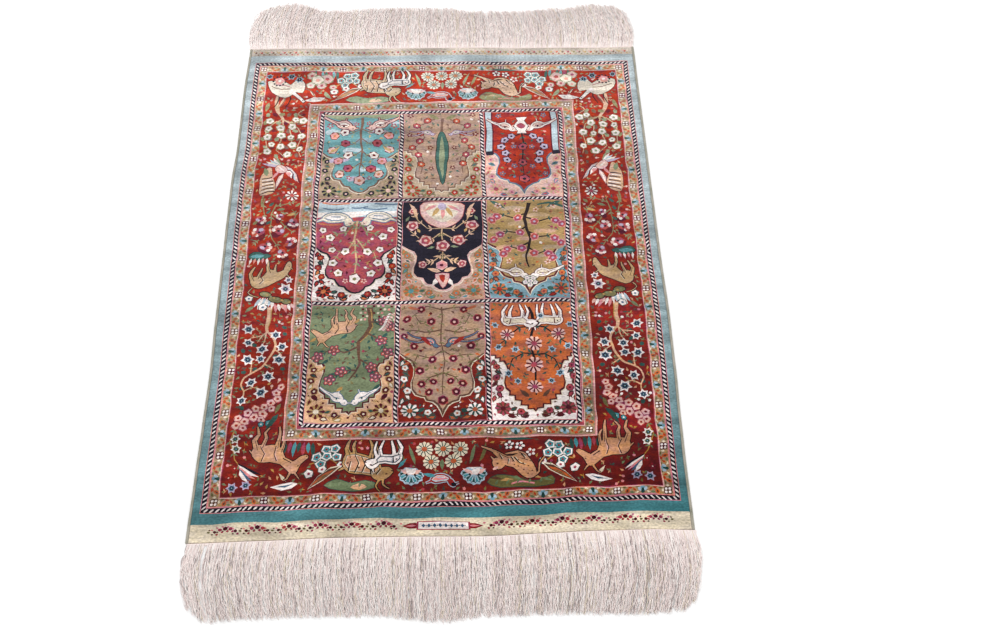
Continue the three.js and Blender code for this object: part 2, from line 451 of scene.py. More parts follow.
DOE = Figure(
    masses=(
        [(-22, 30), (-23, 41), (-15, 50), (0, 50), (13, 55),
         (20, 50), (15, 37), (7, 27), (-6, 27), (-15, 25)],
        [(9, 50), (19, 61), (28, 67), (34, 63), (38, 54), (46, 45), (43, 41), (35, 45), (28, 50), (19, 45)],
    ),
    limbs=(
        ([(-17, 32), (-22, 19), (-17, 11), (-21, 0)], 7.5, 1.6),
        ([(-11, 30), (-8, 16), (-10, 9), (-5, 1)], 5.0, 1.4),
        ([(7, 32), (8, 17), (7, 0)], 6.0, 1.6),
        ([(12, 38), (15, 22), (11, 14)], 4.5, 1.4),
        ([(30, 64), (36, 74)], 3.0, 0.8),
        ([(26, 64), (21, 74), (17, 76)], 2.6, 0.8),
        ([(-22, 38), (-27, 33)], 2.4, 1.0),
    ),
    folds=([(-12, 49), (-8, 38), (-13, 27)], [(8, 50), (4, 40), (6, 28)], [(16, 46), (26, 52)]),
    spots=((35, 56, 1.2), (44, 43, 1.1)),
)

GRAZING_DOE = Figure(
    masses=(
        [(-24, 36), (-23, 46), (-13, 52), (1, 47), (13, 40), (22, 32), (26, 22), (20, 19), (12, 24), (3, 19),
         (-3, 24), (-9, 32), (-17, 30)],
        [(17, 31), (25, 25), (30, 13), (29, 6), (25, 6), (20, 17)],
    ),
    limbs=(
        ([(-20, 38), (-25, 25), (-20, 12)], 7.0, 1.4),
        ([(-14, 34), (-11, 22), (-10, 15)], 4.4, 1.2),
        ([(2, 25), (-3, 14), (-3, 2)], 6.0, 1.4),
        ([(8, 24), (8, 9)], 4.0, 1.2),
        ([(23, 26), (29, 32)], 2.2, 0.8),
        ([(26, 12), (31, 19)], 2.2, 0.8),
        ([(-22, 50), (-27, 57), (-20, 64), (-13, 67)], 1.3, 1.0),
    ),
    folds=([(-12, 44), (-7, 37), (-9, 32)],),
    spots=((27, 14, 1.0),),
)

IBEX = Figure(
    masses=(
        [(-22, 19), (-24, 31), (-16, 42), (0, 44), (13, 45), (20, 38), (15, 27), (4, 20), (-10, 17)],
        [(9, 45), (16, 52), (25, 51), (32, 43), (29, 36), (20, 36), (13, 35)],
    ),
    limbs=(
        ([(-17, 24), (-20, 12), (-16, 0)], 7.5, 1.8),
        ([(-11, 22), (-12, 9), (-9, 1)], 5.0, 1.6),
        ([(7, 25), (10, 12), (7, 0)], 6.0, 1.8),
        ([(13, 28), (15, 13), (13, 1)], 4.5, 1.6),
        ([(22, 50), (23, 58), (30, 64)], 2.6, 0.8),
        ([(18, 51), (15, 59), (20, 67)], 2.6, 0.8),
        ([(-22, 36), (-27, 40)], 3.0, 1.4),
    ),
    folds=([(-10, 42), (-6, 30), (-11, 20)], [(-2, 42), (1, 30), (-3, 21)], [(9, 44), (6, 33), (9, 24)],
           [(14, 44), (19, 38)], [(-17, 40), (-15, 28)]),
    spots=((25, 45, 1.5), (31, 41, 1.3), (-18, 30, 1.6), (-6, 36, 1.5), (3, 35, 1.5)),
)

KID = Figure(
    masses=(
        [(-14, 17), (-15, 25), (-8, 30), (4, 28), (13, 29), (15, 23), (9, 17), (-3, 18)],
        [(10, 29), (16, 34), (22, 32), (25, 26), (20, 23), (13, 23)],
    ),
    limbs=(
        ([(-11, 20), (-14, 10), (-9, 0)], 5.0, 1.4),
        ([(-6, 20), (-6, 10), (-3, 1)], 4.0, 1.4),
        ([(7, 20), (8, 10), (5, 0)], 4.5, 1.4),
        ([(11, 22), (14, 11), (12, 1)], 3.6, 1.2),
        ([(17, 32), (15, 38)], 2.0, 0.8),
    ),
    folds=([(-6, 28), (-5, 20)], [(12, 27), (18, 30)]),
    spots=((19, 29, 1.3), (24, 26, 1.2), (-9, 24, 1.2)),
)

LEOPARD = Figure(
    masses=(
        [(68, -287), (78, -286), (90, -283), (96, -289), (101, -299), (104, -309), (100, -315), (92, -315),
         (85, -310), (78, -301), (69, -298)],
        [(56, -290), (62, -288), (69, -292), (68, -299), (61, -302), (55, -297)],
    ),
    limbs=(
        ([(73, -289), (60, -281), (44, -274)], 4.4, 1.6),
        ([(72, -293), (62, -286), (54, -277)], 4.0, 1.4),
        ([(93, -288), (84, -282), (71, -283)], 4.6, 1.6),
        ([(95, -294), (86, -290), (76, -289)], 4.2, 1.4),
        ([(101, -313), (107, -308), (108, -297), (114, -289)], 2.0, 1.2),
        ([(57, -290), (54, -286)], 2.4, 1.0),
    ),
    folds=([(80, -288), (86, -296), (92, -299)], [(73, -290), (72, -297)], [(76, -287), (80, -294)],
           [(88, -285), (93, -291)], [(66, -290), (64, -284)]),
    spots=(
        (78, -293, 1.2), (84, -300, 1.2), (89, -305, 1.2), (94, -310, 1.2), (90, -297, 1.2), (95, -301, 1.2),
        (99, -307, 1.2), (92, -292, 1.1), (85, -292, 1.0), (60, -295, 1.5), (80, -298, 1.1), (98, -295, 1.0),
    ),
)

SONGBIRD = Figure(
    masses=(
        [(-9, 3), (-4, 8), (4, 9), (9, 5), (7, 0), (0, -4), (-7, -2)],
        [(5, 7), (7, 12), (12, 13), (14, 9), (11, 5)],
    ),
    limbs=(
        ([(-7, 1), (-16, -3), (-24, -9)], 5.0, 1.6),
        ([(13, 10), (18, 9)], 1.8, 0.4),
        ([(1, -3), (2, -9)], 0.9, 0.7),
    ),
    folds=([(4, 4), (-4, 3), (-12, -2)],),
    spots=((10.5, 10, 1.0), (0, 5, 1.6)),
)

LONG_TAILED_BIRD = Figure(
    masses=(
        [(-9, 1), (-6, 7), (2, 10), (9, 8), (10, 2), (4, -3), (-4, -3)],
        [(6, 7), (8, 13), (13, 14), (15, 10), (12, 6)],
    ),
    limbs=(
        ([(-7, 3), (-20, 8), (-34, 8), (-46, 2)], 4.4, 1.0),
        ([(-7, 0), (-18, 0), (-30, -3), (-40, -10)], 4.0, 1.0),
        ([(14, 11), (19, 9)], 1.8, 0.4),
    ),
    folds=([(-10, 3), (-22, 7), (-34, 7)], [(6, 6), (-3, 3)]),
    spots=((11.5, 11, 1.0), (2, 3, 2.0)),
)

DUCK = Figure(
    masses=(
        [(-15, 4), (-8, 9), (2, 8), (10, 6), (12, 1), (4, -4), (-6, -4), (-12, -1)],
        [(8, 5), (9, 12), (14, 15), (18, 12), (16, 8), (13, 3)],
    ),
    limbs=(([(16, 11), (22, 9)], 2.4, 1.0), ([(-12, 4), (-21, 8)], 3.4, 0.8)),
    folds=([(6, 5), (-4, 6), (-12, 4)], [(4, 1), (-6, 1)]),
    spots=((14.5, 11.5, 1.0),),
)


class Blossom:
    """The garden's flowers and branches, each painted round the pen's own origin."""

    @staticmethod
    def star(pen: Pen, radius: float, petal: Silk = Silk.WHITE, disc: Silk = Silk.SLATE) -> None:
        """A six-pointed star with a dark inner star and a ringed eye, its petals reaching to radius."""
        points = 6
        layers = ((1.0, 0.6, 0.0, petal), (0.62, 0.36, 0.0, disc), (0.5, 0.34, 0.5, disc))
        for reach, inner, shift, silk in layers:
            turns = [math.pi * (k + shift) / points for k in range(2 * points)]
            radii = [radius * (inner if k % 2 else reach) for k in range(2 * points)]
            if shift:
                turns, radii = turns[::2], radii[::2]
            pen.area([(r * math.cos(a), r * math.sin(a)) for r, a in zip(radii, turns)], silk)
        pen.oval(0, 0, radius * 0.34, radius * 0.34, Silk.NAVY)
        pen.oval(0, 0, radius * 0.16, radius * 0.16, Silk.SKY, sides=4)

    @staticmethod
    def rounded(pen: Pen, radius: float, petal: Silk, heart: Silk, edge: Silk | None = None) -> None:
        """A round five-lobed flower about a heart, with a thin edge where one is given."""
        angles = [math.pi * k / 5 for k in range(10)]
        reaches = [radius * (1 if k % 2 else 0.78) for k in range(10)]
        outline = [(reach * math.cos(a), reach * math.sin(a)) for reach, a in zip(reaches, angles)]
        if edge:
            pen.oval(0, 0, radius + 0.7, radius + 0.7, edge, sides=6)
        pen.area(outline, petal)
        pen.oval(0, 0, radius * 0.36, radius * 0.36, heart, sides=5)

    @staticmethod
    def dotted(pen: Pen, radius: float, petal: Silk, heart: Silk) -> None:
        """A small flower of five separate dots round a heart."""
        for spoke in pen.ring(5, radius * 0.66, 18):
            spoke.oval(0, 0, radius * 0.36, radius * 0.33, petal, sides=5)
        pen.oval(0, 0, radius * 0.26, radius * 0.26, heart, sides=4)

    @staticmethod
    def daisy(pen: Pen, radius: float, petal: Silk, ground: Silk, heart: Silk, petals: int = 11) -> None:
        """A rosette of separate petals on a dark disc, round a heart."""
        pen.oval(0, 0, radius * 0.88, radius * 0.88, ground, sides=9)
        for spoke in pen.ring(petals, radius * 0.24):
            spoke.area(
                [(0, 0), (radius * 0.62, -radius * 0.2), (radius * 0.78, 0), (radius * 0.62, radius * 0.2)],
                petal,
            )
        pen.oval(0, 0, radius * 0.34, radius * 0.34, heart)

    @staticmethod
    def peony(pen: Pen, radius: float) -> None:
        """A half-open flower with a dark cup, bright petals towards its x axis and a navy eye."""
        pen.oval(-radius * 0.1, 0, radius, radius * 0.82, Silk.ROSE, sides=7)
        pen.oval(-radius * 0.45, radius * 0.25, radius * 0.45, radius * 0.36, Silk.LILAC, 30)
        for side in (-1, 0, 1):
            petal = pen.at(radius * (0.85 - 0.3 * abs(side)), side * radius * 0.62, 38 * side)
            petal.oval(0, 0, radius * 0.34, radius * 0.42, Silk.WHITE if side else Silk.BLUSH, sides=5)
        pen.oval(-radius * 0.05, -radius * 0.15, radius * 0.26, radius * 0.24, Silk.NAVY, sides=5)

    @staticmethod
    def fan(pen: Pen, radius: float) -> None:
        """An open palmette: a scalloped, rayed disc under a crown of pale petals along its y axis."""
        rim = [cmath.rect(radius * (1.04 if k % 2 else 0.93), math.radians(14 * k - 188)) for k in range(15)]
        crest = [(radius * 0.5, radius * 0.5), (-radius * 0.5, radius * 0.5)]
        pen.area([*((p.real, p.imag) for p in rim), *crest], Silk.POWDER)
        for k in range(9):
            ray = pen.at(0, radius * 0.1, -172 + 20.5 * k)
            ray.area(
                [(radius * 0.3, 0), (radius * 0.88, -radius * 0.13), (radius * 0.88, radius * 0.13)],
                Silk.TURQUOISE if k % 2 else Silk.PINE,
            )
            ray.oval(radius * 0.9, radius * 0.14, 0.9, 0.9, Silk.NAVY, sides=4)
        for turn, reach in ((152, 1.0), (28, 1.0), (125, 0.75), (55, 0.75), (90, 0.5)):
            crown = Silk.BLUSH if reach == 1 else Silk.WHITE
            pen.at(0, -radius * 0.1, turn).leaf(0, 0, radius * reach, 0, radius * 0.42, crown)
        for side in (-1, 1):
            pen.oval(side * radius * 0.34, -radius * 0.12, 1.5, 1.7, Silk.NAVY, sides=5)

    @staticmethod
    def cluster(pen: Pen, radius: float, petal: Silk, heart: Silk) -> None:
        """A tuft of small round flowers about a middle one, the outer ones standing radius away."""
        for spoke in [*pen.ring(5, radius, 18), pen]:
            Blossom.rounded(spoke, radius * 0.62, petal, heart, Silk.PINE)

    @staticmethod
    def spray(
        pen: Pen, route: Route, stem: Silk, leaf: Silk, pairs: int, length: float, width: float
    ) -> list[Point]:
        """A stem with pairs of leaves along it.

        Args:
            pen: where the route's axes stand.
            route: the stem's route.
            stem: the stem's colour.
            leaf: the leaves' colour.
            pairs: how many places carry leaves.
            length: a leaf's length.
            width: the stem's width at its root.

        Returns:
            The places along the stem that carry the leaves.
        """
        line = rounded(route, 3, closed=False)
        pen.stroke(route, width, stem, width * 0.5, 1 if len(route) > 3 else 2)
        places = []
        for k in range(pairs):
            i = round((k + 0.7) * (len(line) - 2) / pairs)
            (x, y), (nx, ny) = line[i], line[i + 1]
            own = pen.at(x, y, math.degrees(math.atan2(ny - y, nx - x)))
            side = 1 if k % 2 else -1
            own.leaf(0, 0, length * 0.7, side * length * 0.75, length * 0.36, leaf)
            own.leaf(0, 0, length * 0.5, -side * length * 0.55, length * 0.3, leaf)
            places.append((x, y))
        return places


def plant(pen: Pen, bloom: Callable[..., None], spots: Iterable[Spot], *silks: Silk) -> None:
    """Paints one kind of flower at many places, each turned a little further.

    Args:
        pen: where the places' axes stand.
        bloom: the flower.
        spots: for each flower its place and its radius.
        silks: the flower's colours, where they aren't its own.
    """
    for k, (x, y, radius) in enumerate(spots):
        bloom(pen.at(x, y, 47 * k), radius, *silks)


@dataclass(frozen=True)
class Thicket:
    """Small leaves, sprigs and buds that fill bare ground.

    Attributes:
        tones: the leaves' silks.
        buds: the buds' silks.
        spacing: how far apart they stand.
        size: a leaf's length.
        room: how far round its place the ground has to be bare.
    """

    tones: Sequence[Silk]
    buds: Sequence[Silk] = (Silk.PINK, Silk.ROSE)
    spacing: float = 6.5
    size: float = 4.0
    room: float = 2.3

    def fill(self, pen: Pen, x0: float, y0: float, x1: float, y1: float, seed: int) -> None:
        """Fills the bare ground between two corners of the cartoon.

        Args:
            pen: the pen whose axes the corners are in.
            x0: the left edge.
            y0: the near edge.
            x1: the right edge.
            y1: the far edge.
            seed: what makes this patch its own.
        """
        chance = np.random.default_rng(seed)
        for row in range(int((y1 - y0) / self.spacing)):
            for column in range(int((x1 - x0) / self.spacing)):
                jitter = chance.uniform(0.1, 0.9, 2)
                x, y = x0 + (column + jitter[0]) * self.spacing, y0 + (row + jitter[1]) * self.spacing
                turn, kind = chance.uniform(0, 360), chance.integers(6)
                tone = chance.integers(len(self.tones))
                if not pen.cartoon.bare(*pen.place(x, y), self.room):
                    continue
                own = pen.at(x, y, turn, self.size / 4)
                silk = self.tones[tone]
                if kind == 5:
                    own.oval(0, 0, 1.7, 1.6, self.buds[tone % len(self.buds)], sides=5)
                    own.leaf(1, 0, 4, 1, 1.6, silk)
                elif kind > 2:
                    own.leaves(
                        (-3, -1, 3, -1, 1.1, silk, 0.8),
                        (0, 0, 2.4, 2.4, 1.8, silk),
                        (0, 0, -2.6, 1.8, 1.7, self.tones[(tone + 1) % len(self.tones)]),
                    )
                else:
                    own.leaf(-2.4, 0, 2.6, 0, 2.4, silk, 0.5)


@dataclass(frozen=True)
class Quad:
    """A frame's four corners, in millimetres from the pattern's middle."""

    near_left: Point
    near_right: Point
    far_right: Point
    far_left: Point

    def inset(self, margin: float) -> "Quad":
        """The frame drawn in by a margin all round."""
        (ax, ay), (bx, by), (cx, cy), (dx, dy) = self.corners()
        return Quad(
            (ax + margin, ay + margin), (bx - margin, by + margin), (cx - margin, cy - margin),
            (dx + margin, dy - margin),
        )

    def corners(self) -> list[Point]:
        """The corners in turn, anticlockwise from near left."""
        return [self.near_left, self.near_right, self.far_right, self.far_left]

    def sides(self) -> list[tuple[Point, Point]]:
        """Each side's two ends, anticlockwise."""
        corners = self.corners()
        return list(zip(corners, [*corners[1:], corners[0]]))


CLOTH_SIDE = 268.0
OUTER_ROPE = Quad((-260, -348), (260, -348), (260, 348), (-260, 348))
INNER_ROPE = Quad((-163.7, -246.4), (159, -247.4), (163, 255), (-164.4, 252.6))
ROPE_WIDTH = 7.0
OUTER_GUARD = 12.0
INNER_GUARD = 14.5


def along(pen: Pen, start: Point, end: Point) -> tuple[Pen, float]:
    """A pen that stands at start with its x axis towards end, and how far off end is."""
    across, up = end[0] - start[0], end[1] - start[1]
    return pen.at(*start, math.degrees(math.atan2(up, across))), math.hypot(across, up)


@dataclass(frozen=True)
class RopeStripe:
    """A narrow stripe that looks like a two-coloured rope, with a thin line down each edge.

    Attributes:
        width: its width.
        pitch: about how long one twist is.
        line: how wide each thin line is.
        margin: how far the pale strands stay off the lines.
        slant: how far a strand's ends lie before and after its middle, as a share of a twist.
        thick: half a strand's thickness, as a share of a twist.
    """

    width: float = ROPE_WIDTH
    pitch: float = 5.8
    line: float = 0.8
    margin: float = 0.7
    slant: float = 0.3
    thick: float = 0.15

    def strands(self, pen: Pen, start: Point, end: Point, meets_middle: bool) -> None:
        """Paints the rope's pale strands along a straight middle line.

        Args:
            pen: the pattern's pen.
            start: one end of the rope's middle line.
            end: the other end.
            meets_middle: whether the twist turns over halfway.
        """
        own, length = along(pen, start, end)
        count = round(length / self.pitch)
        step = length / count
        half = self.width / 2 - self.line - self.margin
        for k in range(count):
            middle = (k + 0.5) * step
            lean = self.slant * step * (-1 if meets_middle and middle > length / 2 else 1)
            thick = self.thick * step
            own.area([
                (middle - lean - thick, -half), (middle - lean + thick, -half), (middle + thick * 1.4, -0.2),
                (middle + lean + thick, half), (middle + lean - thick, half), (middle - thick * 1.4, 0.2),
            ], Silk.WHITE)

    def ring(self, pen: Pen, outer: Quad, inside: Silk) -> None:
        """Paints the rope all round a frame.

        Args:
            pen: the pattern's pen.
            outer: the rope's outer edge.
            inside: the colour that lies inside it.
        """
        pen.area(outer.corners(), Silk.PINK)
        pen.area(outer.inset(self.line).corners(), Silk.NAVY)
        pen.area(outer.inset(self.width - self.line).corners(), Silk.PINK)
        pen.area(outer.inset(self.width).corners(), inside)
        for start, end in outer.inset(self.width / 2).sides():
            self.strands(pen, start, end, meets_middle=True)

    def run(self, pen: Pen, start: Point, end: Point) -> None:
        """Paints a straight length of rope with its lines."""
        own, length = along(pen, start, end)
        own.box(0, -self.width / 2, length, self.width / 2, Silk.PINK)
        own.box(0, -self.width / 2 + self.line, length, self.width / 2 - self.line, Silk.NAVY)
        self.strands(pen, start, end, meets_middle=False)


@dataclass(frozen=True)
class GuardBorder:
    """A narrow border of four-dot rosettes and half palmettes on a leafy vine.

    Attributes:
        outer: its outer frame.
        width: its width.
        end_units: how many palmettes each end has.
        side_units: how many palmettes each side has.
        ground: its ground.
        line: how wide its outer line is.
        lines: how wide the two lines along its inner edge are.
        unit: how long a palmette's stretch is at its full size.
        dabs: the vine's dabs beside a palmette: place, length, width, turn and silk.
    """

    outer: Quad
    width: float
    end_units: int
    side_units: int
    ground: Silk = Silk.GUARD
    line: float = 0.9
    lines: float = 1.9
    unit: float = 54.0
    dabs: Sequence[tuple[float, float, float, float, float, Silk]] = (
        (2.8, 0.6, 6.4, 3.8, 48, Silk.POWDER), (6.4, -3.0, 4.8, 2.8, 160, Silk.CREAM),
        (8.8, 1.0, 9.0, 4.8, 62, Silk.OCHRE), (8.6, 0.6, 5.2, 2.4, 62, Silk.RUST),
        (5.6, 3.6, 4.4, 2.2, 10, Silk.OLIVE), (11.8, -3.2, 5.6, 2.8, 10, Silk.MOSS),
        (13.2, 3.0, 6.0, 3.4, 20, Silk.RUST), (16.0, -1.4, 8.6, 4.6, 118, Silk.ORANGE),
        (16.2, -1.6, 4.6, 2, 118, Silk.BROWN), (18.6, 3.2, 5.4, 2.8, 170, Silk.OLIVE),
        (20.2, -3.2, 5.4, 3.0, 20, Silk.OCHRE), (22.0, 0.6, 4.4, 2.6, 90, Silk.CREAM),
    )

    def rosette(self, pen: Pen, dark: Silk) -> None:
        """Paints four cream dots in a dark square."""
        pen.area(
            [(-4.4, -3), (-3, -4.4), (3, -4.4), (4.4, -3), (4.4, 3), (3, 4.4), (-3, 4.4), (-4.4, 3)], dark
        )
        for x in (-2, 2):
            for y in (-2, 2):
                pen.oval(x, y, 1.65, 1.65, Silk.WHITE, sides=5)

    def palmette(self, pen: Pen) -> None:
        """Paints a half palmette with its dark eye, and the vine's dabs on both sides of it."""
        for half in pen.halves():
            for x, y, length, width, turn, silk in self.dabs:
                half.at(x, y, turn).leaf(-length / 2, 0, length / 2, 0, 1.15 * width, silk)
        pen.oval(0, 2.8, 2.6, 2.4, Silk.SKY)
        pen.area([(-2.2, -3.2), (0, -5), (2.2, -3.2), (1, 1.8), (-1, 1.8)], Silk.PINE)

    def paint(self, pen: Pen) -> None:
        """Paints the border inside its outer frame."""
        pen.area(self.outer.corners(), Silk.PINK)
        pen.area(self.outer.inset(self.line).corners(), self.ground)
        for number, (start, end) in enumerate(self.outer.inset(self.width / 2).sides()):
            own, length = along(pen, start, end)
            units = self.side_units if number % 2 else self.end_units
            step = length / units
            for k in range(units):
                self.palmette(own.at((k + 0.5) * step, 0, 180 if k % 2 else 0, min(step / self.unit, 1.0)))
                self.rosette(own.at(k * step, 0), Silk.WINE if k % 2 else Silk.BROWN)
        inner = self.outer.inset(self.width)
        pen.area(inner.inset(-self.lines).corners(), Silk.BLUSH)
        pen.area(inner.inset(-self.line).corners(), Silk.ROSE)


@dataclass(frozen=True)
class HuntingBorder:
    """The wide red border: flowering trees, animals and birds, their feet towards the far end.

    Attributes:
        far_row: how far the far end's row lies from the near end's, which it repeats.
        worn: for each redder patch at the sides, the stretch along the rug that it covers.
    """

    far_row: float = 595.0
    worn: tuple[Point, ...] = ((86, 110), (-122, -78), (-262, -232), (262, 300))

    def end_row(self, row: Pen) -> None:
        """Paints one end's row of motifs, in the near end's places."""
        for half in row.halves():
            for k in range(7):
                half.leaf(
                    145 + 5 * k, -264, 144 + 5.3 * k, -283 + 5 * (k % 2), 5,
                    (Silk.PINE, Silk.TURQUOISE, Silk.ROSE)[k % 3],
                )
            Blossom.fan(half.at(35, -307), 14)
            half.leaf(30, -296, 38, -270, 4.4, Silk.MOSS, 1)
            half.leaf(40, -294, 50, -268, 4.4, Silk.OLIVE, -1)
            half.stroke([(108, -298), (118, -292), (128, -286), (146, -292)], 1.3, Silk.GOLD)
            heads = (
                (139, -283, 6.4), (134, -292, 6.2), (130, -274, 6.2), (120, -273, 6.2), (118, -284, 6),
                (128, -283, 6.2),
            )
            plant(half, Blossom.rounded, heads, Silk.WHITE, Silk.TURQUOISE, Silk.PINE)
            plant(
                half, Blossom.rounded, ((x, y, radius - 2) for x, y, radius in heads), Silk.TURQUOISE,
                Silk.CRIMSON,
            )
            plant(
                half, Blossom.rounded, ((132, -299, 5), (147, -304, 5.6), (112, -294, 4.4)), Silk.WHITE,
                Silk.ROSE, Silk.PINE,
            )
            half.leaves(
                (110, -295, 148, -323, 9.5, Silk.CREAM, 1.5),
                (113, -297, 147, -322, 7.4, Silk.BROWN, 1.5),
                (118, -301, 145, -320, 4.6, Silk.ORANGE, 1.2),
                (122, -304, 140, -317, 1.8, Silk.OLIVE, 0.8),
                (158, -315, 188, -320, 9, Silk.WHITE, -1.5),
                (164, -316, 184, -319.5, 2.6, Silk.SLATE, -1),
                (172, -313, 180, -303, 4, Silk.CREAM),
            )
        plant(
            row, Blossom.daisy,
            ((-20, -276.5, 9.6), (0, -275.5, 9.6), (19.5, -276.5, 9.6), (-12, -292, 9.4), (12, -292, 9.4)),
            Silk.CREAM, Silk.PINE, Silk.ORANGE,
        )
        row.leaf(0, -288, 0, -302, 5, Silk.MOSS)
        DUCK.paint(row.at(-1, -311, 180, 0.86, True), Silk.CRIMSON, Silk.POWDER, Silk.WHITE, Silk.PINK)
        row.oval(12, -321, 3.4, 2.8, Silk.NAVY)
        row.leaf(-8, -310, -22, -306, 5, Silk.TURQUOISE)
        self.animals(row)

    def animals(self, row: Pen) -> None:
        """Paints a row's goat, kid and leopard, with the turf over their backs."""
        row.blob(
            [(-130, -320), (-116, -313), (-100, -317), (-84, -314), (-70, -320), (-84, -326), (-112, -326)],
            Silk.MOSS, Silk.PINE,
        )
        row.blob([(-100, -322), (-91, -317), (-82, -322), (-91, -325)], Silk.PEACH)
        row.blob([
            (50, -318), (60, -309), (74, -312), (90, -318), (106, -319), (120, -312), (122, -322),
            (100, -326), (64, -325),
        ], Silk.OLIVE, Silk.PINE)
        for k in range(6):
            row.leaf(
                52 + 11 * k, -313 - 3 * (k % 2), 67 + 11 * k, -315 - 2 * (k % 3), 3.8,
                (Silk.BROWN, Silk.FAWN, Silk.MOSS)[k % 3], 1,
            )
        row.stroke([(76, -322), (88, -320), (100, -322)], 2, Silk.PINK)
        for k in range(5):
            row.leaf(-124 + 11 * k, -322, -121 + 11 * k, -314, 3, Silk.GREEN)
            row.leaf(58 + 12 * k, -322, 61 + 12 * k, -315, 3, Silk.MOSS)
        IBEX.paint(row.at(-87, -263, 180, 0.98, True), Silk.FAWN, Silk.INK, Silk.BROWN, Silk.TAN)
        KID.paint(row.at(-60, -263, 180, 1.06), Silk.WHITE, Silk.INK, Silk.WINE, Silk.WHITE, Silk.SLATE)
        LEOPARD.paint(row, Silk.TAN, Silk.INK, Silk.BROWN)
        row.oval(57.5, -300.5, 3.6, 1.8, Silk.BLUSH, 30)
        for x, y in ((75, -272), (87, -274)):
            row.oval(x, y, 6, 5.4, Silk.INK)
        plant(
            row, Blossom.dotted, ((75, -272, 5.6), (87, -274, 5.6), (99, -283, 5.6)), Silk.WHITE, Silk.ROSE
        )
        row.leaf(66, -264, 104, -266, 4.6, Silk.PINE, 1)
        row.leaf(-50, -300, -38, -288, 4, Silk.TURQUOISE)

    def corner_near(self, pen: Pen) -> None:
        """Paints a near corner, for the right side."""
        DOE.paint(pen.at(190, -243, 180, 0.9), Silk.TAN, Silk.INK, Silk.INK, light=Silk.BLUSH)
        Blossom.spray(
            pen, [(232, -243), (237, -262), (230, -284), (216, -302)], Silk.GOLD, Silk.MOSS, 4, 7, 1.8
        )
        plant(pen, Blossom.star, ((231, -259, 6.4), (230, -271, 6.4)), Silk.WHITE, Silk.GREEN)
        for k, silk in enumerate((Silk.NAVY, Silk.WHITE, Silk.PINK, Silk.SLATE, Silk.WHITE)):
            pen.leaf(227 - k, -288 - 2.2 * k, 198 + 3.4 * k, -305 - 2 * k, 4.6, silk, 1)
        plant(pen, Blossom.star, ((229, -318, 6.8), (214, -316, 6.6)), Silk.LILAC, Silk.SLATE)
        plant(pen, Blossom.dotted, ((233, -306, 4.6), (229, -295, 4)), Silk.CRIMSON, Silk.BLUSH)

    def blossom_tree(self, pen: Pen) -> None:
        """Paints the star-flowered tree with its crown and its arc of pink blossom, for the right side."""
        for x, y in (
            (187, -106), (187, -116), (222, -130), (205, -161), (186, -166), (219, -165), (232, -168),
            (231, -191), (229, -218), (196, -148), (234, -139),
        ):
            pen.oval(x, y, 3.6, 2.8, Silk.PINE, 31 * x, 5)
        pen.stroke([(208, -76), (206, -90), (209, -103), (207, -113)], 6.0, Silk.PEACH, 3.4)
        pen.stroke([(205, -80), (204, -92), (207, -104)], 1.4, Silk.GOLD, 1.0)
        pen.stroke([
            (206, -112), (200, -122), (197, -131), (199, -140), (203, -150), (208, -159), (214, -165),
            (223, -170), (231, -176), (233, -186), (228, -195), (229, -204),
        ], 3.0, Silk.PEACH, 1.5)
        for route in (
            [(208, -111), (214, -117), (227, -120)], [(213, -116), (219, -126)], [(209, -113), (212, -129)],
            [(224, -170), (223, -152)], [(198, -138), (189, -146), (186, -158)], [(207, -158), (197, -166)],
            [(228, -195), (219, -190), (212, -192)],
        ):
            Blossom.spray(pen, route, Silk.PEACH, Silk.GREEN, 2, 4.6, 1.8)
        self.crown(pen)
        plant(pen, Blossom.star, (
            (231, -108, 8), (229, -127, 6.8), (198, -116, 7.4), (212, -136, 8), (190, -134, 7.4),
            (228, -151, 8.4), (213, -150, 7), (191, -153, 8.8), (203, -176, 8.8), (222, -183, 7.4),
            (209, -198, 8.8), (230, -208, 7),
        ))
        pen.stroke(
            [(189, -190), (190, -203), (193, -213), (202, -221), (215, -225), (226, -233), (232, -242)],
            5, Silk.WINE, 14, 3,
        )
        plant(pen, Blossom.rounded, (
            (187, -190, 4.6), (191, -198, 5.2), (189, -206, 5), (196, -212, 5.4), (194, -219, 4.6),
            (203, -217, 5), (204, -226, 6), (213, -220, 5), (214, -231, 5.8), (222, -225, 5.4),
            (224, -236, 5.6), (206, -234, 4.4), (232, -232, 5), (232, -242, 5.6), (225, -245, 4.6),
        ), Silk.BLUSH, Silk.CRIMSON, Silk.ROSE)
        plant(
            pen, Blossom.rounded, ((197, -238, 4.6), (206, -240, 3.4)), Silk.TURQUOISE, Silk.WHITE,
            Silk.NAVY,
        )
        pen.leaf(186, -226, 200, -247, 7, Silk.PINE, 1)
        pen.leaf(184, -212, 190, -226, 5, Silk.OLIVE)

